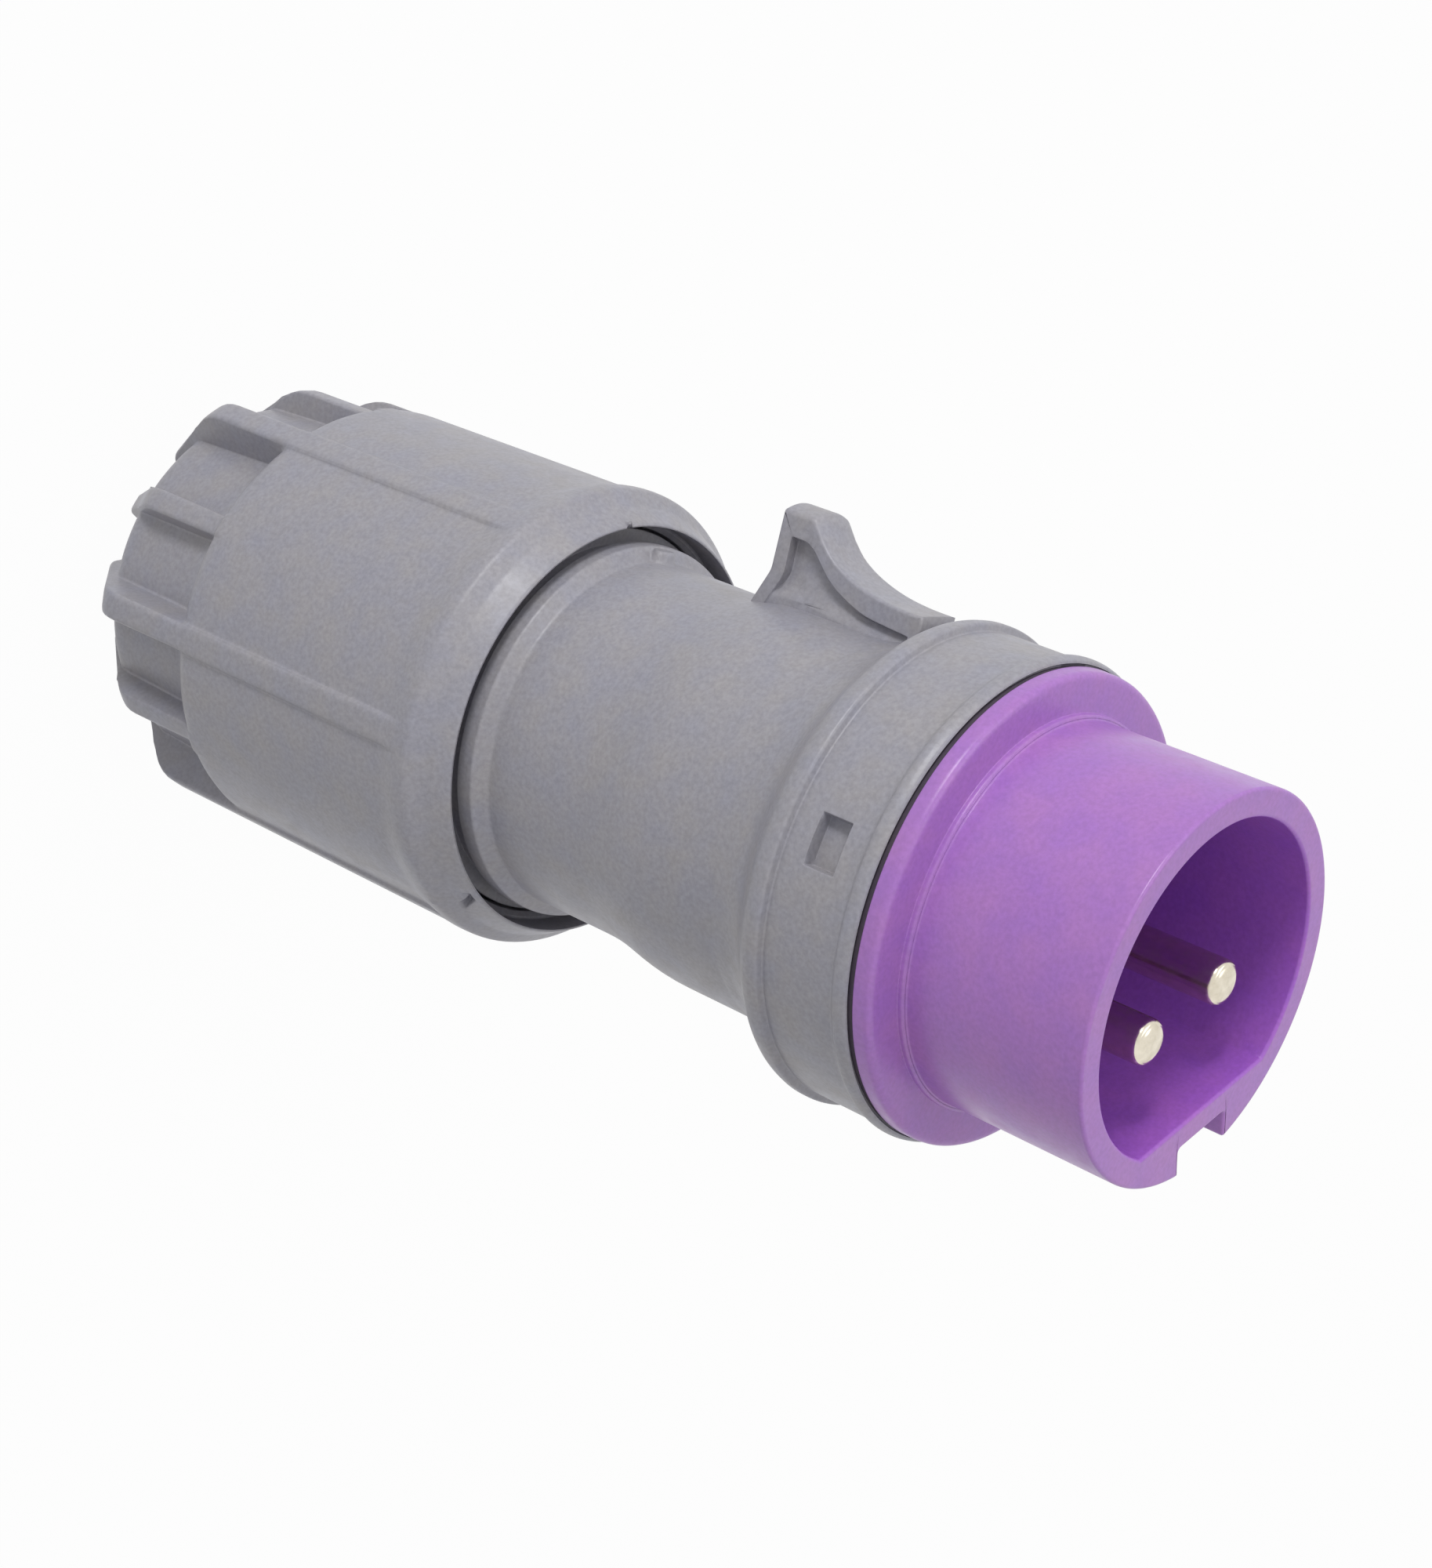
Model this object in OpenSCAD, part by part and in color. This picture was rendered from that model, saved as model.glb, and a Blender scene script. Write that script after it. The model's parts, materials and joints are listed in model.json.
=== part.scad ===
// Two-pin extra-low-voltage plug, straight, with a screwed cable gland.
// It stands on the rear face of its gland nut. The origin is the centre of that
// face and +Z runs along the axis to the pins. +Y is the keyway side.

/* [Sleeve and flange] */
// Outside diameter of the sleeve that goes into the socket
sleeve_d = 46; // [44:0.5:48]
// Wall of the sleeve
sleeve_wall = 3.4; // [2.8:0.1:3.8]
// Reach of the sleeve in front of the flange
sleeve_h = 23.5; // [20:0.5:30]
// Rounding of the sleeve's front edges
rim_round = 0.5; // [0.2:0.1:1]
// Depth of the sleeve's inside, from the rim to the contact floor
cavity_depth = 29.5; // [27:0.5:31]
// Diameter of the flange
flange_d = 56.5; // [56:0.5:58]
// Thickness of the flange
flange_t = 2.6; // [2.2:0.1:3.5]
// Rounding of the flange's front edge
flange_round = 2; // [0.6:0.1:2.2]
// Thickness of the contact floor
floor_t = 6; // [5:0.5:7]

/* [Keyway] */
// Width of the keyway in the sleeve
key_w = 8.7; // [6:0.1:10]
// Distance from the axis to the keyway's floor
key_floor = 18.9; // [18.2:0.1:19.4]
// Thickness of the wall behind the keyway
key_wall = 3.1; // [2:0.1:3.6]

/* [Sleeve skirt] */
// Outside diameter of the skirt behind the flange
skirt_d = 50.4; // [49.4:0.2:51]
// Wall of the skirt
skirt_wall = 2.8; // [2.4:0.1:3.2]
// Number of bayonet lugs on the skirt
lug_n = 3; // [2:1:4]
// Height of a bayonet lug above the skirt
lug_rise = 1; // [0.6:0.1:1.2]
// Thickness of a bayonet lug along the axis
lug_t = 2.4; // [1.6:0.1:2.6]
// Angle that a bayonet lug covers
lug_deg = 22; // [14:1:28]
// Distance from the skirt's end to the bayonet lugs
lug_in = 1.2; // [0.8:0.1:1.4]

/* [Contact pins] */
// Diameter of a contact pin
pin_d = 5.4; // [4.8:0.1:6]
// Distance between the two pins
pin_pitch = 14; // [13:0.5:15]
// Distance of the pins from the axis, towards the keyway
pin_shift = 4.1; // [3:0.1:5]
// Depth of the pin's tip behind the rim
pin_setback = 2; // [1:0.1:5]
// Diameter of the pin's root in the contact floor
root_d = 6; // [5.6:0.1:6.4]
// Diameter of the pin's collar behind the contact floor
collar_d = 10; // [9.4:0.2:11]
// Thickness of the pin's collar
collar_t = 2.5; // [1.5:0.1:3]
// Diameter of the terminal barrel
barrel_d = 8; // [7.6:0.1:8.6]
// Length of the terminal barrel behind the collar
barrel_l = 21.5; // [18:0.5:26]
// Diameter of the wire bore in the barrel
wire_bore_d = 4.4; // [3.6:0.1:4.8]
// Depth of the wire bore
wire_bore_l = 12; // [10:0.5:14]

/* [Terminal screws] */
// Diameter of the terminal screw's thread
clamp_screw_d = 3.5; // [3:0.1:4]
// Distance of the terminal screw from the barrel's end
clamp_screw_in = 5; // [4:0.1:7]
// Diameter of the terminal screw's head
clamp_head_d = 5.6; // [5:0.1:6.4]
// Height of the terminal screw's head
clamp_head_h = 2.2; // [1.6:0.1:2.6]
// Height of the head above the barrel
clamp_head_lift = 0.6; // [0.3:0.1:0.9]
// Reach of the screw's tip into the wire bore
clamp_reach = 0.6; // [0.2:0.1:1]

/* [Pin retainer] */
// Thickness of the retainer plate
plate_t = 3.4; // [2.4:0.1:4]
// Distance of each retainer screw from the line of the pins
plate_screw_off = 11.5; // [10:0.5:12]
// Diameter of the retainer screw's thread
plate_screw_d = 2.9; // [2.4:0.1:3.2]
// Length of the retainer screw's thread in the contact floor
plate_screw_bite = 4.2; // [3:0.1:4.6]
// Diameter of the retainer screw's head
plate_head_d = 5.6; // [4.8:0.1:6.4]
// Height of the retainer screw's head
plate_head_h = 2; // [1.4:0.1:2.4]
// Diameter of the bosses that the retainer plate rests on
boss_d = 6.6; // [6:0.1:7]

/* [Screw slots] */
// Width of the slot in each screw's head
slot_w = 0.9; // [0.6:0.1:1.2]
// Depth of the slot in each screw's head
slot_depth = 1; // [0.6:0.1:1.2]

/* [Flange seal] */
// Thickness of the seal between the flange and the housing
seal_t = 0.8; // [0.6:0.1:1.2]
// Outside diameter of that seal
seal_d = 56; // [55:0.2:56.6]

/* [Housing, outside] */
// Diameter of the threaded spigot, between the thread's ridges
spigot_d = 49; // [48.6:0.1:49.2]
// Length of the threaded spigot
spigot_l = 22.2; // [20:0.2:26]
// Largest diameter of the shoulder in front of the thread
shoulder_d = 50.2; // [49.8:0.1:50.6]
// Length of the shoulder's slope
shoulder_l = 4.3; // [3:0.1:6]
// Diameter of the waist
waist_d = 45; // [44:0.2:46]
// Length of the waist
waist_l = 15; // [10:0.5:20]
// Length of the ramp from the waist to the grip
ramp_l = 8; // [5:0.5:12]
// Diameter of the grip
grip_d = 48.2; // [47:0.2:49]
// Length of the grip
grip_l = 13.5; // [10:0.5:18]
// Length of the hollow flare from the grip to the bead
flare_l = 8.5; // [7:0.5:11]
// Diameter of the bead
bead_d = 58.6; // [58:0.1:59.4]
// Width of the bead
bead_l = 3.3; // [2.6:0.1:4.4]
// Diameter of the band between the bead and the lip
band_d = 56.9; // [56.2:0.1:57.4]
// Diameter of the lip
lip_d = 58.2; // [57.8:0.1:58.8]
// Width of the lip
lip_l = 3.4; // [2.8:0.1:4.4]

/* [Housing, inside] */
// Wall of the housing at its waist
waist_wall = 3.2; // [2.6:0.1:3.6]
// Wall of the threaded spigot
spigot_wall = 3.5; // [3:0.1:3.8]
// Length of the bore that holds the cable seal's head
head_bore_l = 10; // [9:0.5:12]

/* [Latch tab] */
// Angle of the latch tab from the +X axis
tab_deg = 246.5; // [236:0.5:256]
// Width of the latch tab
tab_w = 6.8; // [5:0.2:8]
// Height of the latch tab's top above the axis
tab_top = 35.4; // [33.5:0.1:36]
// Distance from the ramp's start to the tab's rear face
tab_rear = 4.2; // [3:0.1:5]
// Length of the sloping foot behind the tab
tab_foot_l = 1.8; // [1:0.1:2.4]
// Height of that sloping foot above the waist
tab_foot_h = 4.5; // [3:0.1:6]
// Length of the tab's top along the axis
tab_top_l = 4.7; // [4:0.1:6]
// Thickness of the tab's rear plate
tab_rear_t = 2.1; // [1.6:0.1:2.6]
// Thickness of the tab's curved front plate
tab_front_t = 2.5; // [2:0.1:3]
// Thickness of the web between the plates
tab_web = 2.4; // [1.6:0.1:3.2]

/* [Band window] */
// Angle of the window's middle from the +X axis
window_deg = 323; // [310:1:336]
// Width of the blind window along the axis
window_w = 3.9; // [3:0.1:5]
// Length of the blind window around the band
window_l = 6.1; // [4:0.1:8]
// Depth of the blind window
window_depth = 1.2; // [0.6:0.1:1.4]
// Distance from the lip to the window
window_in = 1.2; // [0.6:0.1:2]

/* [Gland nut, outside] */
// Length of the gland nut
nut_l = 74.2; // [72:0.2:78]
// Diameter of the nut's body
nut_d = 58.6; // [58.2:0.1:59.2]
// Diameter of the collar at the nut's mouth
nut_collar_d = 60; // [59.6:0.1:61]
// Diameter at the collar's inner edge, on the nose
nose_d = 55.2; // [54.6:0.1:56.6]
// Length of the nose, from the collar's widest line to the mouth
nose_l = 5; // [4:0.1:6]
// Length of the nose's front slope
nose_slope_l = 2.8; // [2:0.1:3.4]
// Length of the slope behind the collar
collar_back_l = 4; // [2:0.1:5]
// Width of the collar's cylindrical land
collar_land = 1.2; // [0.6:0.1:1.8]
// Wall of the nut at its mouth
mouth_rim = 0.6; // [0.2:0.1:0.8]
// Length of the recessed rear part between the fins
hub_l = 26.8; // [22:0.2:30]
// Length of the slope from that part up to the nut's body
hub_slope_l = 3.6; // [2:0.1:6]
// Diameter of that rear part where its slope starts
hub_d = 50; // [49:0.2:51]
// Diameter of the rear part at its bevel
bevel_d = 48.8; // [48:0.2:49.6]
// Length of the rear bevel
bevel_l = 7.1; // [5:0.1:8]
// Diameter of the flat rear face between the fins
rear_d = 34; // [32:0.5:38]

/* [Gland nut, fins] */
// Number of fins, every second one running on as a rib
fin_n = 12; // [8:2:16]
// Angle of the first long rib from the +X axis
fin_deg = 40.5; // [30:0.5:48]
// Width of a long rib
rib_w = 3.6; // [3:0.1:5]
// Width of a short fin
fin_w = 3; // [2.4:0.1:4.4]
// Height of the long ribs above the nut's body
rib_rise = 0.4; // [0.2:0.1:0.9]
// Depth of the short fins' outer edge under the nut's body
fin_drop = 1.2; // [0:0.1:1.6]
// Diameter over the fins at the rear face
fin_rear_d = 39.6; // [38.6:0.2:44]
// Length of the fins' bevel
fin_bevel_l = 11.4; // [8:0.1:12]
// Rounding between the fins' bevel and their outer edge
fin_round = 2.6; // [1:0.1:4]

/* [Gland nut, inside] */
// Diameter of the cable hole
cable_d = 18; // [14:0.5:20]
// Length of the cable hole's straight wall
cable_hole_l = 4; // [3:0.1:6]
// Diameter of the funnel behind the thrust ring's seat
funnel_d = 35; // [33:0.5:36]
// Length of that funnel
funnel_l = 8; // [6:0.1:9]
// Distance from the rear face to the thrust ring's seat
seat_z = 14; // [13:0.2:16]
// Diameter of the bore around the thrust ring
seat_bore_d = 41; // [40:0.2:42]
// Distance from the mouth to the end of the threaded bore
thread_bore_l = 30; // [28:0.5:31]

/* [Gland insert] */
// Length of the nut that lies over the spigot
overlap_l = 24.2; // [22:0.2:26]
// Thickness of the thrust ring
ring_t = 6; // [4:0.1:7]
// Smallest inside diameter of the thrust ring
ring_bore_d = 26; // [24:0.5:28]
// Largest inside diameter of the thrust ring
ring_mouth_d = 35.6; // [34:0.2:36.4]
// Depth of the finger tips in the thrust ring
tip_in = 3; // [1:0.1:4]
// Number of clamping fingers
finger_n = 10; // [6:1:12]
// Thickness of a clamping finger
finger_t = 3.2; // [2.4:0.1:3.4]
// Width of the slots between the fingers
finger_gap = 3; // [2:0.1:4]
// Thickness of the cage's flange
cage_flange_t = 2.3; // [1.6:0.1:3]
// Diameter of the cage's flange
cage_flange_d = 48.4; // [46:0.2:48.6]
// Length of the cage's neck in the housing
cage_neck_l = 6; // [5:0.5:7]
// Bore of the cable seal
seal_bore_d = 12; // [9:0.5:14]
// Length of the seal's sleeve behind the cage's flange
sleeve_tail = 24; // [12:0.5:26]

/* [Clearances] */
// Radial gap of parts that slide into each other
slide_gap = 0.3; // [0.2:0.05:0.35]
// Gap on each side of a bayonet lug in its groove
lug_gap = 0.3; // [0.15:0.05:0.4]
// Angle that the groove leaves free at each end of a lug
lug_side_deg = 1; // [0.5:0.5:2]
// Radial gap of a contact pin's root in the contact floor
pin_gap = 0.05; // [0.03:0.01:0.1]
// Radial gap of the screws in their threaded holes
thread_gap = 0.05; // [0.03:0.01:0.1]
// Length of free space behind the skirt
skirt_gap = 0.5; // [0.3:0.1:1]
// Reach of the skirt past the retainer plate
skirt_past = 0.1; // [0:0.1:1]

/* [Hidden] */
$fn = 96;
// Overrun of a cut past the face that it opens
cut = 1;
// Steps in each rounded outline
arc_steps = 6;
// Depth to which the fins reach into the nut's wall
fin_root = 1;
// Share of its half wave at which the lip's swelling ends
lip_share = 0.75;

// The skirt covers the contact floor, the pins' collars and the retainer plate, and the
// housing's socket takes the skirt, so the band is as wide as the bead and the lip leave it
skirt_l = cavity_depth - sleeve_h - flange_t + floor_t + collar_t + plate_t + skirt_past;
socket_l = skirt_l - seal_t + skirt_gap;
band_l = socket_l - bead_l - lip_l;

// Heights along the axis, stacked from the nut's rear face
z_spigot = nut_l - overlap_l;
z_shoulder = z_spigot + spigot_l;
z_waist = z_shoulder + shoulder_l;
z_ramp = z_waist + waist_l;
z_grip = z_ramp + ramp_l;
z_flare = z_grip + grip_l;
z_bead = z_flare + flare_l;
z_band = z_bead + bead_l;
z_lip = z_band + band_l;
z_front = z_lip + lip_l;
z_flange = z_front + seal_t;
z_sleeve = z_flange + flange_t;
z_rim = z_sleeve + sleeve_h;
z_floor = z_rim - cavity_depth;
z_floor_rear = z_floor - floor_t;
z_plate = z_floor_rear - collar_t;
z_barrel = z_plate - barrel_l;
z_skirt = z_flange - skirt_l;
z_nose = nut_l - nose_l;
z_head_seat = z_spigot + cage_neck_l;
z_tip = seat_z + ring_t - tip_in;

// Radii
sleeve_r = sleeve_d / 2;
cavity_r = sleeve_r - sleeve_wall;
key_flat = key_floor - key_wall;
skirt_r = skirt_d / 2;
socket_r = skirt_r + slide_gap;
spigot_r = spigot_d / 2;
bore_r = spigot_r - spigot_wall;
chamber_r = waist_d / 2 - waist_wall;
thread_bore_r = shoulder_d / 2 + slide_gap;
neck_r = bore_r - slide_gap;
finger_r = ring_cone_r(ring_t) - slide_gap;
barrel_r = barrel_d / 2;
pin_r = pin_d / 2;

// Radius of the thrust ring's cone at a height above its seat
function ring_cone_r(h) = (ring_bore_d + (ring_mouth_d - ring_bore_d) * h / ring_t) / 2;

// Points of an arc about c from angle a to angle b
function arc(c, r, a, b) =
    [for (i = [0:arc_steps])
        let (t = a + (b - a) * i / arc_steps)
        c + r * [cos(t), sin(t)]];

// A solid of revolution from an outline of radius and height
module turned(outline) {
    rotate_extrude() polygon(outline);
}

// A plate whose outline is radius and height, stood on edge at an angle about the axis
module upright(outline, w, deg) {
    rotate([0, 0, deg]) rotate([90, 0, 0]) translate([0, 0, -w / 2]) linear_extrude(w) polygon(outline);
}

// Places its children at each pin, with side -1 or 1
module at_pin(side) {
    translate([side * pin_pitch / 2, pin_shift, 0]) children();
}

// Places its children at one of the retainer screws, with side -1 or 1
module at_plate_screw(side) {
    translate([0, pin_shift + side * plate_screw_off, 0]) children();
}

module shroud() {
    screw_hole_l = collar_t + plate_screw_bite + slide_gap;
    color("mediumorchid") difference() {
        union() {
            difference() {
                turned(concat(
                    [[0, z_floor_rear], [skirt_r - skirt_wall, z_floor_rear], [skirt_r - skirt_wall, z_skirt],
                     [skirt_r, z_skirt], [skirt_r, z_flange], [flange_d / 2, z_flange]],
                    arc([flange_d / 2 - flange_round, z_sleeve - flange_round], flange_round, 0, 90),
                    [[sleeve_r, z_sleeve]],
                    arc([sleeve_r - rim_round, z_rim - rim_round], rim_round, 0, 90),
                    [[0, z_rim]]));
                sleeve_cavity();
                keyway();
            }
            shroud_bosses();
            bayonet_lugs();
        }
        for (side = [-1, 1]) {
            at_pin(side) translate([0, 0, z_floor_rear - cut])
                cylinder(r = root_d / 2 + pin_gap, h = floor_t + 2 * cut);
            at_plate_screw(side) translate([0, 0, z_plate - cut])
                cylinder(r = plate_screw_d / 2 + thread_gap, h = screw_hole_l + cut);
        }
    }
}

// The round inside of the sleeve, flattened where the keyway's wall stands
module sleeve_cavity() {
    intersection() {
        translate([0, 0, z_floor]) cylinder(r = cavity_r, h = cavity_depth + cut);
        translate([-cavity_r - cut, -cavity_r - cut, z_floor])
            cube([2 * (cavity_r + cut), cavity_r + cut + key_flat, cavity_depth + cut]);
    }
}

module keyway() {
    translate([-key_w / 2, key_floor, z_sleeve]) cube([key_w, sleeve_r, sleeve_h + cut]);
}

// Bosses behind the contact floor that the retainer plate is screwed against
module shroud_bosses() {
    for (side = [-1, 1])
        at_plate_screw(side) translate([0, 0, z_plate]) cylinder(d = boss_d, h = collar_t + floor_t / 2);
}

// A stretch of ring between two radii, over an angle that starts at deg
module ring_part(r_in, r_out, z, h, deg, span) {
    translate([0, 0, z]) rotate([0, 0, deg]) rotate_extrude(angle = span)
        translate([r_in, 0]) square([r_out - r_in, h]);
}

module bayonet_lugs() {
    for (i = [0:lug_n - 1])
        ring_part(skirt_r - skirt_wall / 2, skirt_r + lug_rise, z_skirt + lug_in, lug_t,
            i * 360 / lug_n - lug_deg / 2, lug_deg);
}

// A contact pin with its domed tip, collar and terminal barrel
module contact_pin(side) {
    tip_z = z_rim - pin_setback;
    color("lightgray") difference() {
        at_pin(side) {
            turned(concat(
                [[0, z_barrel], [barrel_r, z_barrel], [barrel_r, z_plate], [collar_d / 2, z_plate],
                 [collar_d / 2, z_floor_rear], [root_d / 2, z_floor_rear], [root_d / 2, z_floor],
                 [pin_r, z_floor], [pin_r, tip_z - pin_r]],
                arc([0, tip_z - pin_r], pin_r, 0, 90)));
        }
        at_pin(side) translate([0, 0, z_barrel - cut]) cylinder(d = wire_bore_d, h = wire_bore_l + cut);
        at_pin(side) translate([0, 0, z_barrel + clamp_screw_in]) rotate([0, side * 90, 0])
            cylinder(r = clamp_screw_d / 2 + thread_gap, h = barrel_r + cut);
    }
}

module terminal_screw(side) {
    tip_x = wire_bore_d / 2 - clamp_reach;
    head_x = barrel_r + clamp_head_lift;
    color("silver") at_pin(side) translate([0, 0, z_barrel + clamp_screw_in]) rotate([0, side * 90, 0])
        difference() {
            union() {
                translate([0, 0, tip_x]) cylinder(d = clamp_screw_d, h = head_x - tip_x);
                translate([0, 0, head_x]) cylinder(d = clamp_head_d, h = clamp_head_h);
            }
            translate([-clamp_head_d, -slot_w / 2, head_x + clamp_head_h - slot_depth])
                cube([2 * clamp_head_d, slot_w, slot_depth + cut]);
        }
}

module pin_retainer() {
    color("dimgray") difference() {
        translate([0, 0, z_plate - plate_t]) cylinder(r = skirt_r - skirt_wall - slide_gap, h = plate_t);
        for (side = [-1, 1]) {
            at_pin(side) translate([0, 0, z_plate - plate_t - cut])
                cylinder(r = barrel_r + slide_gap, h = plate_t + 2 * cut);
            at_plate_screw(side) translate([0, 0, z_plate - plate_t - cut])
                cylinder(r = plate_screw_d / 2 + slide_gap, h = plate_t + 2 * cut);
        }
    }
}

module retainer_screw(side) {
    head_z = z_plate - plate_t - plate_head_h;
    color("silver") at_plate_screw(side) difference() {
        union() {
            translate([0, 0, head_z]) cylinder(d = plate_head_d, h = plate_head_h);
            translate([0, 0, head_z]) cylinder(d = plate_screw_d,
                h = plate_head_h + plate_t + collar_t + plate_screw_bite);
        }
        translate([-plate_head_d, -slot_w / 2, head_z - cut])
            cube([2 * plate_head_d, slot_w, slot_depth + cut]);
    }
}

module flange_seal() {
    color("black") difference() {
        translate([0, 0, z_front]) cylinder(d = seal_d, h = seal_t);
        translate([0, 0, z_front - cut]) cylinder(r = skirt_r + slide_gap / 2, h = seal_t + 2 * cut);
    }
}

module housing() {
    color("slategray") difference() {
        union() {
            housing_shell();
            latch_tab();
        }
        translate([0, 0, z_spigot - cut]) cylinder(r = bore_r, h = head_bore_l + cut);
        translate([0, 0, z_spigot]) cylinder(r = chamber_r, h = z_front - z_spigot);
        translate([0, 0, z_bead]) cylinder(r = socket_r, h = z_front - z_bead + cut);
        bayonet_tracks();
        band_window();
    }
}

// Points of a swelling that rises from r by rise over the length l, drawn up to a share of its half wave
function swelling(r, rise, z, l, share) =
    [for (i = [0:arc_steps]) [r + rise * sin(180 * share * i / arc_steps), z + l * i / arc_steps]];

// Outer form of the housing, from the spigot's end to the lip
module housing_shell() {
    flare_rise = (band_d - grip_d) / 2;
    turned(concat(
        [[0, z_spigot], [spigot_r, z_spigot], [spigot_r, z_shoulder], [shoulder_d / 2, z_shoulder],
         [waist_d / 2, z_waist], [waist_d / 2, z_ramp], [grip_d / 2, z_grip], [grip_d / 2, z_flare]],
        // The flare is a quarter of an ellipse, hollow outwards
        [for (i = [1:arc_steps - 1])
            [band_d / 2 - flare_rise * cos(90 * i / arc_steps), z_flare + flare_l * sin(90 * i / arc_steps)]],
        swelling(band_d / 2, (bead_d - band_d) / 2, z_bead, bead_l, 1),
        swelling(band_d / 2, (lip_d - band_d) / 2, z_lip, lip_l, lip_share),
        [[0, z_front]]));
}

// Grooves in the housing's mouth: each lug goes in along the axis and turns home under a ledge
module bayonet_tracks() {
    groove_r = skirt_r + lug_rise + lug_gap;
    groove_z = z_skirt + lug_in - lug_gap;
    for (i = [0:lug_n - 1]) {
        deg = i * 360 / lug_n - lug_deg / 2;
        ring_part(socket_r - cut, groove_r, groove_z, lug_t + 2 * lug_gap, deg - lug_side_deg,
            2 * (lug_deg + 2 * lug_side_deg));
        ring_part(socket_r - cut, groove_r, groove_z, z_front - z_skirt, deg + lug_deg + lug_side_deg,
            lug_deg + 2 * lug_side_deg);
    }
}

module band_window() {
    low_z = z_lip - window_in - window_w;
    rotate([0, 0, window_deg]) translate([band_d / 2 - window_depth, -window_l / 2, low_z])
        cube([window_depth + cut, window_l, window_w]);
}

// Points of the tab's hollow front, from (high_r, top_z) at its top to (low_r, end_z) at its foot
function tab_sweep(high_r, low_r, top_z, end_z) =
    [for (i = [0:2 * arc_steps])
        let (a = 45 * i / arc_steps)
        [low_r + (high_r - low_r) * (1 - sin(a)), end_z - (end_z - top_z) * cos(a)]];

// Tab on the housing that the socket's latch holds, with a recess in each side
module latch_tab() {
    rear_z = z_ramp + tab_rear;
    top_z = rear_z + tab_top_l;
    root_r = waist_d / 2 - waist_wall / 2;
    outline = concat(
        [[root_r, rear_z - tab_foot_l], [waist_d / 2, rear_z - tab_foot_l],
         [waist_d / 2 + tab_foot_h, rear_z], [tab_top, rear_z]],
        tab_sweep(tab_top, band_d / 2, top_z, z_bead),
        [[root_r, z_bead]]);
    difference() {
        intersection() {
            upright(outline, tab_w, tab_deg);
            rotate([0, 0, tab_deg]) tab_crown();
        }
        for (side = [-1, 1])
            rotate([0, 0, tab_deg]) translate([0, side * (tab_web + tab_w) / 2, 0])
                tab_recess(rear_z, top_z, root_r);
    }
}

// Space under the tab's rounded top, for a tab that points along +X
module tab_crown() {
    translate([tab_top - tab_w, 0, z_ramp]) cylinder(r = tab_w, h = z_band - z_ramp);
    translate([0, -tab_w, z_ramp]) cube([tab_top - tab_w, 2 * tab_w, z_band - z_ramp]);
}

// One side's recess, bounded by the rear plate and the curved front plate
module tab_recess(rear_z, top_z, root_r) {
    high_r = tab_top - tab_front_t - tab_w / 8;
    end_z = z_bead - tab_front_t;
    upright(concat(
        [[root_r, rear_z + tab_rear_t], [high_r, rear_z + tab_rear_t]],
        tab_sweep(high_r, band_d / 2 - tab_front_t, top_z - tab_front_t / 4, end_z),
        [[root_r, end_z]]), tab_w - tab_web, 0);
}

module cable_seal() {
    tail_z = z_spigot - cage_flange_t - sleeve_tail;
    head_h = head_bore_l - cage_neck_l;
    color("darkslategray") difference() {
        union() {
            translate([0, 0, tail_z]) cylinder(r = finger_r - finger_t - slide_gap, h = z_head_seat - tail_z);
            translate([0, 0, z_head_seat]) cylinder(r = neck_r, h = head_h);
        }
        translate([0, 0, tail_z - cut])
            cylinder(d = seal_bore_d, h = z_head_seat + head_h - tail_z + 2 * cut);
    }
}

// Clamping cage: a neck in the spigot, a flange against its end and fingers that squeeze the seal
module clamp_cage() {
    inner_r = finger_r - finger_t;
    flange_z = z_spigot - cage_flange_t;
    color("gainsboro") difference() {
        turned([[inner_r, z_tip], [ring_cone_r(ring_t - tip_in) - slide_gap, z_tip],
            [finger_r, z_tip + tip_in], [finger_r, flange_z],
            [cage_flange_d / 2, flange_z], [cage_flange_d / 2, z_spigot], [neck_r, z_spigot],
            [neck_r, z_head_seat], [inner_r, z_head_seat]]);
        for (i = [0:finger_n - 1])
            rotate([0, 0, i * 360 / finger_n]) translate([0, -finger_gap / 2, z_tip - cut])
                cube([finger_r + cut, finger_gap, flange_z - z_tip + cut - finger_gap]);
    }
}

// Ring that the nut pushes over the finger tips; its cone closes them on the seal
module thrust_ring() {
    ring_r = seat_bore_d / 2 - slide_gap;
    color("whitesmoke") turned([[ring_bore_d / 2, seat_z], [ring_r, seat_z], [ring_r, seat_z + ring_t],
        [ring_mouth_d / 2, seat_z + ring_t]]);
}

module gland_nut() {
    color("slategray") difference() {
        union() {
            nut_shell();
            for (i = [0:fin_n - 1]) nut_fin(i);
        }
        nut_inside();
    }
}

// Outer form of the nut without its fins
module nut_shell() {
    collar_r = nut_collar_d / 2;
    turned([[0, 0], [rear_d / 2, 0], [bevel_d / 2, bevel_l], [hub_d / 2, hub_l - hub_slope_l],
        [nut_d / 2, hub_l], [nut_d / 2, z_nose - collar_back_l], [collar_r, z_nose - collar_land],
        [collar_r, z_nose], [nose_d / 2, nut_l - nose_slope_l], [thread_bore_r + mouth_rim, nut_l],
        [0, nut_l]]);
}

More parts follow.
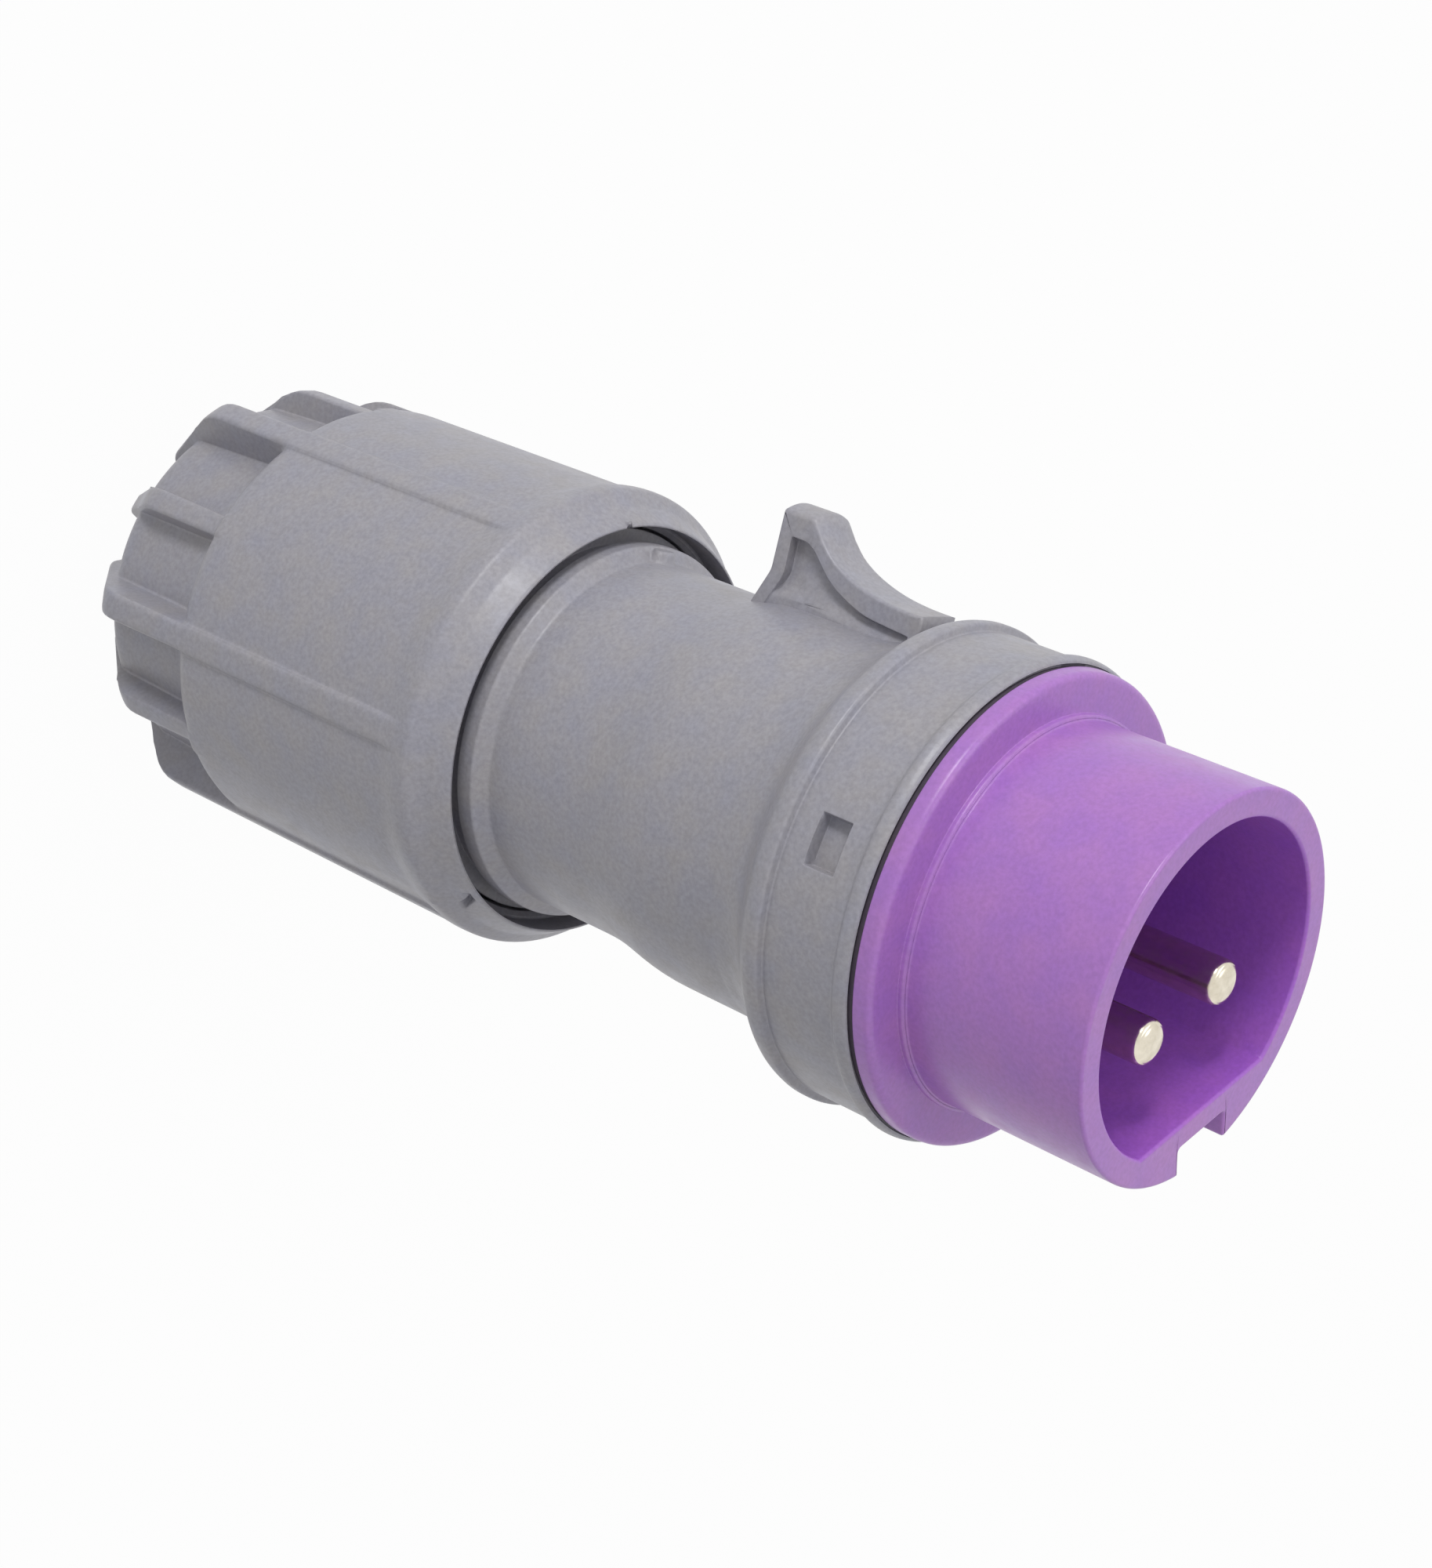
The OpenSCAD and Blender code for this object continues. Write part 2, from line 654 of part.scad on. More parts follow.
// One of the fins; the even ones run on as ribs up to the collar
module nut_fin(i) {
    long = i % 2 == 0;
    tip_r = nut_d / 2 + (long ? rib_rise : -fin_drop);
    rib_z = z_nose - collar_back_l / 2;
    slope = [tip_r - fin_rear_d / 2, fin_bevel_l];
    outline = concat(
        [[rear_d / 2 - fin_root, 0], [fin_rear_d / 2, 0]],
        [[tip_r, fin_bevel_l] - slope * fin_round / norm(slope) / 2],
        // The corner between the bevel and the outer edge is drawn round in two steps
        [[tip_r - fin_round / 8, fin_bevel_l + fin_round / 8], [tip_r, fin_bevel_l + fin_round / 2]],
        // A long one runs over the body, and a short one ends in the slope of the rear part
        long ? [[tip_r, rib_z], [nut_d / 2 - fin_root, rib_z], [nut_d / 2 - fin_root, hub_l]] : [[tip_r, hub_l]],
        [[hub_d / 2 - fin_root, hub_l], [bevel_d / 2 - fin_root, bevel_l]]);
    upright(outline, long ? rib_w : fin_w, fin_deg + i * 360 / fin_n);
}

// Everything that is hollow in the nut: cable hole, funnel, ring seat and threaded bore
module nut_inside() {
    translate([0, 0, -cut]) cylinder(d = cable_d, h = seat_z + cut);
    translate([0, 0, cable_hole_l]) cylinder(d1 = cable_d, d2 = funnel_d, h = funnel_l);
    translate([0, 0, cable_hole_l + funnel_l])
        cylinder(d = funnel_d, h = seat_z - cable_hole_l - funnel_l + cut);
    translate([0, 0, seat_z]) cylinder(d = seat_bore_d, h = nut_l - seat_z);
    translate([0, 0, nut_l - thread_bore_l]) cylinder(r = thread_bore_r, h = thread_bore_l + cut);
}

shroud();
contact_pin(-1);  // contact_pin_left
contact_pin(1);  // contact_pin_right
terminal_screw(-1);  // terminal_screw_left
terminal_screw(1);  // terminal_screw_right
pin_retainer();
retainer_screw(-1);  // retainer_screw_lower
retainer_screw(1);  // retainer_screw_upper
flange_seal();
housing();
cable_seal();
clamp_cage();
thrust_ring();
gland_nut();
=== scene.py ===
"""Looks of the straight two-pin extra-low-voltage plug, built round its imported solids.

Each sub-assembly is a class. Its sizes are dataclass fields in millimetres, in the frame of the
solids: the plug stands on the rear face of its gland nut, +Z runs along the axis to the pins and
+Y is the keyway side. Shapes are worked out as whole arrays and scaled to metres at the end.
"""

import json
import logging
from dataclasses import dataclass
from enum import Enum
from typing import Any, Sequence

import bpy
import numpy as np
import numpy.typing as npt
from mathutils import Matrix


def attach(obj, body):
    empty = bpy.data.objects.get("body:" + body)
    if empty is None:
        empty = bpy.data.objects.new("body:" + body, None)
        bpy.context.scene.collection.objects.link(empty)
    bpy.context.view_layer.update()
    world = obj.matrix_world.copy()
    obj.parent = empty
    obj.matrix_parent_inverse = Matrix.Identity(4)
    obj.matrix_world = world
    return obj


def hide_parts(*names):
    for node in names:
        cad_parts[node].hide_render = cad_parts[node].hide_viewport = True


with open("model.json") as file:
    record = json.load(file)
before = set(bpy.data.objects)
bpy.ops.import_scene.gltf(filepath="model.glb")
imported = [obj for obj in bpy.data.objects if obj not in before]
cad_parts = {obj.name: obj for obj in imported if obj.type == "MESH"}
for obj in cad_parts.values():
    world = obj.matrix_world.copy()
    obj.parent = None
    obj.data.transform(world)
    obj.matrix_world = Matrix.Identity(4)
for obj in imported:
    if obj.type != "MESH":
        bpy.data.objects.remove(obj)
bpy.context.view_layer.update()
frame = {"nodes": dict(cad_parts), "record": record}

LOG = logging.getLogger("plug")
MM = 0.001
Floats = npt.NDArray[np.float64]
Pair = tuple[float, float]
Triple = tuple[float, float, float]
Row = tuple[float, ...]
Socket = bpy.types.NodeSocket
Material = bpy.types.Material

ROUNDING_POINTS = 5
QUARTER = np.radians(np.linspace(0, 90, ROUNDING_POINTS))
LUG_BEARINGS = (0, 120, 240)
NORMAL_WEIGHT = 60
HAIR = 0.02  # millimetres within which a point counts as on a wall
WHITE = (1, 1, 1, 1)


class Ends(Enum):
    """How the first and the last row of a grid of points are closed."""

    LOOP = "the last row joins the first"
    POLES = "a fan to the middle of each end row"


class Slot(Enum):
    """The record's material slots."""

    SHROUD = "shroud_violet"
    HOUSING = "housing_grey"
    NUT = "nut_grey"
    CONTACT = "contact_nickel"
    SCREW = "screw_steel"
    RETAINER = "retainer_black"
    SEAL = "seal_rubber"
    CLAMP = "clamp_white"


# Curves and outlines


@dataclass(frozen=True)
class Corner:
    """One corner of an outline, written in the outlines as a row (r, z, reach, fill).

    r and z are its place (radius and height, or any two axes), reach is the length that its
    rounding takes from the straights beside it, and fill is the number of points on the one after.
    """

    r: float
    z: float
    reach: float = 0.1
    fill: int = 0


def rounded(rows: Sequence[Row], closed: bool = False) -> Floats:
    """Outline through corners, each drawn as a piece of a parabola.

    The curve of a corner P runs from S, reach before it, to E, reach past it:
    (1 - t)^2 S + 2 t (1 - t) P + t^2 E, for t from 0 to 1.

    Args:
        rows: the corners in order, as rows whose last values may be left out.
        closed: whether the last corner leads back to the first.

    Returns:
        Points, one row each. Outlines with equal fills have equal counts.
    """
    corners = [Corner(*row) for row in rows]
    place = np.array([(c.r, c.z) for c in corners])
    reach = np.array([c.reach for c in corners])[:, None]
    ahead = np.roll(place, -1, axis=0) - place
    ahead /= np.linalg.norm(ahead, axis=1, keepdims=True)
    start, end = place - np.roll(ahead, 1, axis=0) * reach, place + ahead * reach
    if not closed:
        start[[0, -1]] = end[[0, -1]] = place[[0, -1]]
    t = np.linspace(0, 1, ROUNDING_POINTS)[:, None]
    parts = []
    for i, corner in enumerate(corners):
        if not closed and i in (0, len(corners) - 1):
            parts.append(place[i : i + 1])
        else:
            parts.append((1 - t) ** 2 * start[i] + 2 * t * (1 - t) * place[i] + t**2 * end[i])
        if closed or i < len(corners) - 1:
            share = np.linspace(0, 1, corner.fill + 2)[1:-1, None]
            parts.append(end[i] + share * (start[(i + 1) % len(corners)] - end[i]))
    return np.concatenate(parts)


def spline(points: Sequence[Pair], count: int) -> Floats:
    """Smooth line through points, as cubic pieces over the chord length.

    With h the length of a chord and m the slopes at its ends, a piece is
    (2t^3 - 3t^2 + 1) P0 + (t^3 - 2t^2 + t) h m0 + (3t^2 - 2t^3) P1 + (t^3 - t^2) h m1.

    Args:
        points: the points that the line goes through.
        count: how many points to return, evenly spaced along the chords.

    Returns:
        Points, one row each, from the first point to the last.
    """
    p = np.array(points, float)
    length = np.r_[[0.0], np.cumsum(np.linalg.norm(np.diff(p, axis=0), axis=1))]
    slope = np.stack([np.gradient(p[:, k], length) for k in range(2)], axis=1)
    at = np.linspace(0, length[-1], count)
    i = np.clip(np.searchsorted(length, at, side="right") - 1, 0, len(p) - 2)
    h = (length[i + 1] - length[i])[:, None]
    t = (at[:, None] - length[i][:, None]) / h
    return (
        (2 * t**3 - 3 * t**2 + 1) * p[i]
        + (t**3 - 2 * t**2 + t) * h * slope[i]
        + (3 * t**2 - 2 * t**3) * p[i + 1]
        + (t**3 - t**2) * h * slope[i + 1]
    )


def moved_in(outline: Floats, depth: float) -> Floats:
    """Moves a closed outline inwards, square to its own line at each point.

    Args:
        outline: points in order, one row each.
        depth: how far they move, outwards if negative.

    Returns:
        The moved points.
    """
    along = np.roll(outline, -1, axis=0) - np.roll(outline, 1, axis=0)
    along /= np.linalg.norm(along, axis=1, keepdims=True)
    ahead = np.roll(outline, -1, axis=0)
    turn = np.sign(np.sum(outline[:, 0] * ahead[:, 1] - ahead[:, 0] * outline[:, 1]))
    return outline + turn * depth * np.c_[-along[:, 1], along[:, 0]]


def ease(value: Floats, low: float, high: float) -> Floats:
    """0 below low, 1 above high and 3t^2 - 2t^3 between them, with t the share of the way."""
    t = np.clip((value - low) / (high - low), 0, 1)
    return t * t * (3 - 2 * t)


def between(value: Floats, low: float, high: float, edge: float) -> Floats:
    """1 inside low to high and 0 outside, with a soft step of the width edge inside each end."""
    return ease(value, low, low + edge) * (1 - ease(value, high - edge, high))


def centred(value: Floats, low: float, high: float, edge: float) -> Floats:
    """Like between, with each soft step centred on its end."""
    return between(value, low - edge / 2, high + edge / 2, edge)


def turn_from(angle: Floats, middle: float) -> Floats:
    """Angle in degrees measured from middle, from -180 to 180."""
    return (angle - middle + 180) % 360 - 180


def clearance(angles: Floats, marks: Floats) -> Floats:
    """Distance in degrees from each angle to the nearest mark."""
    return np.abs(turn_from(angles[:, None], marks[None, :])).min(axis=1)


def columns(even: int, marks: Sequence[float], spread: Sequence[float]) -> Floats:
    """Angles of a round grid's columns, closer together round some marks.

    Args:
        even: number of evenly spaced columns.
        marks: angles in degrees that get columns of their own.
        spread: offsets in degrees from each mark at which these stand.

    Returns:
        Sorted angles in degrees, without even ones that crowd a mark.
    """
    own = (np.array(marks)[:, None] + np.array(spread)[None, :]).ravel() % 360
    base = np.arange(even) * 360 / even
    return np.unique(np.r_[base[clearance(base, own) > 180 / even], own])


# Meshes


@dataclass
class Shell:
    """A closed surface: points in millimetres, and its faces as lists of point numbers."""

    points: Floats
    faces: list[list[int]]

    @staticmethod
    def from_grid(grid: Floats, ends: Ends) -> "Shell":
        """Closed surface over a grid of points whose columns run all the way round, faced out.

        Args:
            grid: rows by columns by three coordinates.
            ends: how the first and the last row are closed.

        Returns:
            The surface.
        """
        rows, cols = grid.shape[:2]
        i = np.arange(rows if ends is Ends.LOOP else rows - 1)[:, None]
        j, k = np.arange(cols)[None, :], (np.arange(cols)[None, :] + 1) % cols
        up = (i + 1) % rows * cols
        quads = np.stack([i * cols + j, i * cols + k, up + k, up + j], axis=-1).reshape(-1, 4)
        points, faces = grid.reshape(-1, 3), quads.tolist()
        first, last, after = np.arange(cols), np.arange(cols) + (rows - 1) * cols, k[0]
        if ends is Ends.POLES:
            points = np.r_[points, grid[[0, -1]].mean(axis=1)]
            south, north = np.full(cols, rows * cols), np.full(cols, rows * cols + 1)
            faces += np.stack([south, after, first], axis=1).tolist()
            faces += np.stack([last, last[after], north], axis=1).tolist()
        return Shell(points, faces).faced_out()

    def faced_out(self) -> "Shell":
        """Turns the surface over if the volume that its faces enclose is negative.

        Six times that volume is the sum of a . (b x c) over the faces' triangles a, b, c.

        Returns:
            The surface with its faces outwards.
        """
        fans = [(f[0], f[n], f[n + 1]) for f in self.faces for n in range(1, len(f) - 1)]
        a, b, c = (self.points[list(corner)] for corner in zip(*fans))
        if np.einsum("ij,ij->i", a, np.cross(b, c)).sum() < 0:
            return Shell(self.points, [f[::-1] for f in self.faces])
        return self

    def joined(self, other: "Shell") -> "Shell":
        """Puts this surface and another one together.

        Args:
            other: the other surface.

        Returns:
            Both as one set of points and faces.
        """
        shift = len(self.points)
        moved = [[n + shift for n in f] for f in other.faces]
        return Shell(np.r_[self.points, other.points], self.faces + moved)


def revolved(outline: Floats, degrees: Floats) -> Floats:
    """Grid of an outline turned round the axis: (r cos a, r sin a, z) for each angle a.

    Args:
        outline: radius and height of each point.
        degrees: the angles.

    Returns:
        Outline points by angles by three coordinates.
    """
    a = np.radians(degrees)[None, :]
    r, z = outline[:, :1], outline[:, 1:]
    return np.stack([r * np.cos(a), r * np.sin(a), z + 0 * a], axis=-1)


def add_object(
    name: str, data: bpy.types.ID, axes: Floats | None = None, place: Floats | None = None
) -> bpy.types.Object:
    """Links a new object, at the origin or turned and moved.

    Args:
        name: its name.
        data: its mesh, camera or light.
        axes: the directions of its own axes, as columns.
        place: its place in metres, given with the axes.

    Returns:
        The object.
    """
    item = bpy.data.objects.new(name, data)
    bpy.context.scene.collection.objects.link(item)
    if axes is not None:
        matrix = np.eye(4)
        matrix[:3, :3], matrix[:3, 3] = axes, place
        item.matrix_world = Matrix(matrix.tolist())
    return item


@dataclass(frozen=True)
class Piece:
    """A finished piece: its name, the body that it rides on, its slot and what it stands for."""

    name: str
    body: str
    slot: Slot
    replaces: tuple[str, ...]

    def make(self, shell: Shell, material: Material) -> None:
        """Makes the object at the origin, smooth and with normals weighted by face area.

        Args:
            shell: the piece's surface.
            material: its material.
        """
        mesh = bpy.data.meshes.new(self.name)
        mesh.from_pydata(shell.points * MM, [], shell.faces)
        mesh.polygons.foreach_set("use_smooth", np.ones(len(mesh.polygons), bool))
        mesh.materials.append(material)
        mesh.validate()
        mesh.update()
        piece = add_object(self.name, mesh)
        piece.modifiers.new("weighted normals", "WEIGHTED_NORMAL").weight = NORMAL_WEIGHT
        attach(piece, self.body)
        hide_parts(*self.replaces)
        LOG.info("%s: %d faces, rides on %s", self.name, len(mesh.polygons), self.body)


# Materials


class Graph:
    """The nodes of a material or a world, added and linked by short calls."""

    def __init__(self, tree: bpy.types.NodeTree) -> None:
        """Empties the tree."""
        self.tree = tree
        tree.nodes.clear()

    def add(self, kind: str, inputs: dict[Any, Any], **settings: Any) -> bpy.types.Node:
        """Adds a node.

        Args:
            kind: the node's type.
            inputs: socket name or number to a value, or to the output socket that feeds it.
            settings: the node's own properties.

        Returns:
            The node.
        """
        node = self.tree.nodes.new(kind)
        for name, value in settings.items():
            setattr(node, name, value)
        for name, value in inputs.items():
            if isinstance(value, Socket):
                self.tree.links.new(value, node.inputs[name])
            else:
                node.inputs[name].default_value = value
        return node

    def noise(self, where: Socket, size: float, detail: float) -> Socket:
        """Noise whose blotches are about size millimetres across, from 0 to 1."""
        inputs = {"Vector": where, "Scale": 1 / (size * MM), "Detail": detail, "Roughness": 0.55}
        return self.add("ShaderNodeTexNoise", inputs).outputs[0]

    def ranged(self, value: Socket, low: float, high: float) -> Socket:
        """The middle stretch of a noise, 0.3 to 0.7, spread out from low to high."""
        inputs = {"Value": value, "From Min": 0.3, "From Max": 0.7, "To Min": low, "To Max": high}
        return self.add("ShaderNodeMapRange", inputs).outputs[0]

    def blend(self, share: Any, a: Any, b: Any, how: str = "MIX") -> Socket:
        """Colour a blended with colour b by a share."""
        inputs = {0: share, 6: a, 7: b}
        return self.add("ShaderNodeMix", inputs, data_type="RGBA", blend_type=how).outputs[2]

    def math(self, how: str, a: Any, b: Any) -> Socket:
        """Two values joined by an operation."""
        return self.add("ShaderNodeMath", {0: a, 1: b}, operation=how).outputs[0]

    def mixed(self, share: Socket, a: bpy.types.Node, b: bpy.types.Node) -> Socket:
        """Shader a mixed with shader b by a share."""
        inputs = {0: share, 1: a.outputs[0], 2: b.outputs[0]}
        return self.add("ShaderNodeMixShader", inputs).outputs[0]

    def coat(self, colour: Socket, rough: Socket, bump: dict[str, Any], metal: float = 0) -> None:
        """Adds the shader and the output.

        Args:
            colour: base colour.
            rough: roughness.
            bump: inputs of the bump, with its distance in metres.
            metal: how metallic it is.
        """
        inputs = {"Base Color": colour, "Roughness": rough, "Metallic": metal}
        inputs["Normal"] = self.add("ShaderNodeBump", bump).outputs[0]
        shader = self.add("ShaderNodeBsdfPrincipled", inputs)
        self.add("ShaderNodeOutputMaterial", {"Surface": shader.outputs[0]})


def new_material(name: str) -> tuple[Material, Graph, Socket]:
    """Makes a material that reads object coordinates.

    Args:
        name: its name.

    Returns:
        The material, its graph and the coordinates.
    """
    material = bpy.data.materials.new(name)
    material.use_nodes = True
    graph = Graph(material.node_tree)
    return material, graph, graph.add("ShaderNodeTexCoord", {}).outputs["Object"]


@dataclass(frozen=True)
class PaintedCavityShade:
    """Painted shade for the inside of a moulding, where the colour is multiplied by a darker tint.

    It lies within a radius of the axis, on the near side of a flat and above a height.
    """

    radius: float
    flat: float
    height: float
    # darker tint multiplied in as painted shade
    painted_shade_tint: Triple
    edge: float = 0.3

    def tint(self, graph: Graph, where: Socket, colour: Socket) -> Socket:
        """A colour, darkened inside by painted shade.

        Args:
            graph: the material's graph.
            where: the object coordinates.
            colour: the colour outside.

        Returns:
            The changed colour.
        """
        x, y, z = graph.add("ShaderNodeSeparateXYZ", {0: where}).outputs
        level = graph.add("ShaderNodeCombineXYZ", {0: x, 1: y}).outputs[0]
        far = graph.add("ShaderNodeVectorMath", {0: level}, operation="LENGTH").outputs["Value"]
        share = self.step(graph, far, self.radius, -1)
        for value, limit, way in ((y, self.flat, -1), (z, self.height, 1)):
            share = graph.math("MULTIPLY", share, self.step(graph, value, limit, way))
        # painted shade: inside, the colour is multiplied by the darker tint
        return graph.blend(share, colour, graph.blend(1.0, colour, (*self.painted_shade_tint, 1), "MULTIPLY"))

    def step(self, graph: Graph, value: Socket, limit: float, way: int) -> Socket:
        """1 on one side of a limit, fading out at it: below it if way is -1, above it if 1."""
        inputs = {0: value, 1: (limit - way * self.edge) * MM, 2: limit * MM, 3: 0.0, 4: 1.0}
        return graph.add("ShaderNodeMapRange", inputs).outputs[0]


@dataclass(frozen=True)
class Moulded:
    """Moulded plastic or rubber: a fine speckle, slow drifts of tint and a faint grain."""

    name: str
    cool: Triple
    warm: Triple
    speckle: float = 0.1
    speckle_size: float = 0.55
    drift_size: float = 5.0
    roughness: float = 0.42
    rough_size: float = 2.5
    rough_drift: float = 0.05
    grain: float = 0.25
    grain_size: float = 0.22
    grain_depth: float = 0.03
    hollow: PaintedCavityShade | None = None

    def material(self) -> Material:
        """Builds the material: cool to warm by one noise, times a speckle by another.

        Returns:
            The material.
        """
        material, graph, where = new_material(self.name)
        drift = graph.ranged(graph.noise(where, self.drift_size, 3), 0, 1)
        tint = graph.blend(drift, (*self.cool, 1), (*self.warm, 1))
        speckle = graph.noise(where, self.speckle_size, 2)
        value = graph.ranged(speckle, 1 - self.speckle, 1 + self.speckle)
        colour = graph.blend(1.0, tint, value, "MULTIPLY")
        # painted shade in the cavity, where the finish has one
        if self.hollow:
            colour = self.hollow.tint(graph, where, colour)
        drift = graph.noise(where, self.rough_size, 2)
        low, high = self.roughness - self.rough_drift, self.roughness + self.rough_drift
        height = graph.noise(where, self.grain_size, 1)
        bump = {"Height": height, "Strength": self.grain, "Distance": self.grain_depth * MM}
        graph.coat(colour, graph.ranged(drift, low, high), bump)
        return material


@dataclass(frozen=True)
class Metal:
    """Plated or bright metal, with faint turning lines round the axis and a few dull spots."""

    name: str
    colour: Triple
    dull: Triple
    roughness: float = 0.16
    line_size: float = 0.12
    spot_size: float = 1.6
    spot_rougher: float = 0.12
    line_squash: Triple = (0.05, 0.05, 1.0)
    line_strength: float = 0.12
    line_depth: float = 0.01

    def material(self) -> Material:
        """Builds the material: colour to dull in spots, and lines drawn out round the axis.

        Returns:
            The material.
        """
        material, graph, where = new_material(self.name)
        spots = graph.ranged(graph.noise(where, self.spot_size, 3), 0, 1)
        colour = graph.blend(spots, (*self.colour, 1), (*self.dull, 1))
        squash = graph.add("ShaderNodeMapping", {"Vector": where, "Scale": self.line_squash})
        lines = graph.noise(squash.outputs[0], self.line_size, 1)
        bump = {"Height": lines, "Strength": self.line_strength, "Distance": self.line_depth * MM}
        rough = graph.ranged(spots, self.roughness, self.roughness + self.spot_rougher)
        graph.coat(colour, rough, bump, metal=1.0)
        return material


GREYS = (0.300, 0.298, 0.350), (0.330, 0.317, 0.335)
FINISHES: dict[Slot, Moulded | Metal] = {
    Slot.SHROUD: Moulded(
        "violet polyamide", (0.370, 0.165, 0.545), (0.415, 0.185, 0.525), 0.07, roughness=0.33,
        # painted shade: the sleeve's cavity is darkened to a deeper violet
        hollow=PaintedCavityShade(19.75, 15.95, 133.9, (0.92, 0.68, 1.05)),
    ),
    Slot.HOUSING: Moulded("grey polyamide", *GREYS),
    Slot.NUT: Moulded("grey polyamide of the nut", *GREYS),
    Slot.CONTACT: Metal("nickel plate", (0.80, 0.74, 0.62), (0.66, 0.60, 0.48), 0.14, 0.3),
    Slot.SCREW: Metal("zinc plate", (0.66, 0.66, 0.66), (0.52, 0.52, 0.50), 0.3),
    Slot.RETAINER: Moulded("black polyamide", (0.045, 0.047, 0.055), (0.055, 0.052, 0.052)),
    Slot.SEAL: Moulded(
        # near-black rubber; its slight lift and violet tint are painted light bounced from the
        # violet shroud into the gap
        "black rubber", (0.055, 0.042, 0.066), (0.066, 0.052, 0.070), roughness=0.7,
    ),
    Slot.CLAMP: Moulded("natural polyamide", (0.58, 0.58, 0.57), (0.63, 0.62, 0.58)),
}


# The plug's pieces


@dataclass
class Shroud:
    """Violet front moulding: contact floor, skirt with bayonet lugs, flange, sleeve and keyway."""

    floor_rear: float = 128.0
    skirt_inside: float = 22.4
    skirt_r: float = 25.2
    skirt_z: float = 122.0
    flange_z: float = 137.4
    flange_r: float = 28.2
    face_z: float = 139.75
    foot_r: float = 23.6
    foot_z: float = 140.6
    sleeve_r: float = 23.0
    rim_z: float = 163.5
    floor_z: float = 134.0
    cavity_r: float = 19.6
    cavity_flat: float = 15.8
    key_half: float = 4.35
    key_floor: float = 18.9
    root_fillet: float = 0.2
    rim_edge: float = 0.4
    lug_rise: float = 1.0
    lug_half: float = 11.0
    lug_z: Pair = (123.2, 125.6)

    def half_section(self) -> tuple[Floats, Floats, Floats]:
        """One half of the sleeve's outer section, from the keyway's middle to the far side.

        Returns:
            The points (x, y); the angle from +Y in degrees that each takes on the round parts;
            and the one in the cavity, such that the rim passes round the keyway's corners.
        """
        crest = np.sqrt(self.sleeve_r**2 - self.key_half**2)
        start = np.degrees(np.arcsin(self.key_half / self.sleeve_r)) + 1.6
        bend = np.radians(start)
        key = rounded([
            (0, self.key_floor, 0.1, 5), (self.key_half, self.key_floor, 0.5, 4),
            (self.key_half, crest, 0.5),
            (self.sleeve_r * np.sin(bend), self.sleeve_r * np.cos(bend)),
        ])
        knots = [0, 5, 10, 14, 19, 20]
        on_key = np.arange(len(key))
        out_key = np.interp(on_key, knots, [0.0, 7.0, 8.2, 9.8, 11.8, start])
        in_key = np.interp(on_key, knots, [0.0, 11.8, 15.7, 16.5, 17.6, 18.2])
        corner = np.degrees(np.arccos(self.cavity_flat / self.cavity_r))
        even = np.linspace(in_key[-1], 180, 118)
        even = even[np.abs(even - corner) > 0.8]
        inner = np.unique(np.r_[even, corner + np.array([-0.6, -0.2, 0.2, 0.6])])
        outer = start + (inner - in_key[-1]) * (180 - start) / (180 - in_key[-1])
        turn = np.radians(outer)
        round_part = self.sleeve_r * np.c_[np.sin(turn), np.cos(turn)]
        section = np.r_[key, round_part[1:]]
        return section, np.r_[out_key, outer[1:]], np.r_[in_key, inner[1:]]

    def grid(self) -> Floats:
        """Rows of the shroud: round ones, then the keyed section, then the cavity's section.

        A keyed row is the sleeve's section moved in by an amount, at a height. A cavity row is
        the radius min(cavity_r, cavity_flat / cos t) at the angle t from the keyway, likewise.

        Returns:
            Rows by columns by three coordinates.
        """
        half, out_turn, in_turn = self.half_section()
        sleeve = np.r_[half[::-1], half[1:-1] * np.array([-1.0, 1.0])]
        angle = 90 - np.r_[out_turn[::-1], -out_turn[1:-1]]
        turns = np.r_[in_turn[::-1], -in_turn[1:-1]]
        a = np.radians(90 - turns)
        back = rounded([
            (0.4, self.floor_rear, 0.1, 4), (self.skirt_inside, self.floor_rear, 0.4, 3),
            (self.skirt_inside, self.skirt_z, 0.2, 1), (self.skirt_r, self.skirt_z, 0.3, 24),
            (self.skirt_r, self.flange_z, 0.1, 2), (self.flange_r, self.flange_z, 0.15, 2),
            (self.flange_r - 0.05, self.face_z - 0.05, 0.85, 5),
            (self.foot_r, self.face_z + 0.1, 0.08, 1), (self.foot_r, self.foot_z, 0.38),
            (self.sleeve_r + self.root_fillet + 0.03, self.foot_z),
        ])
        round_rows = revolved(back, angle)
        aside = [turn_from(angle, bearing) for bearing in LUG_BEARINGS]
        lug = sum(between(turn, -self.lug_half, self.lug_half, 1.6) for turn in aside)
        on_skirt = back[:, 0] > self.skirt_r - HAIR
        rise = between(back[:, 1], *self.lug_z, 0.4) * on_skirt * self.lug_rise
        grow = 1 + (rise[:, None] * lug[None, :]) / np.maximum(back[:, :1], 1)
        round_rows[..., :2] *= grow[..., None]

        sine, cosine = 1 - np.sin(QUARTER), 1 - np.cos(QUARTER)
        root, edge = self.root_fillet, self.rim_edge
        outer = np.r_[
            np.c_[-root * sine, self.foot_z + root * cosine],
            np.c_[np.zeros(12), np.linspace(self.foot_z + 0.9, self.rim_z - 1.2, 12)],
            np.c_[edge * cosine, self.rim_z - edge * sine],
        ]
        outer_rows = np.stack([self.at_height(moved_in(sleeve, d), z) for d, z in outer])

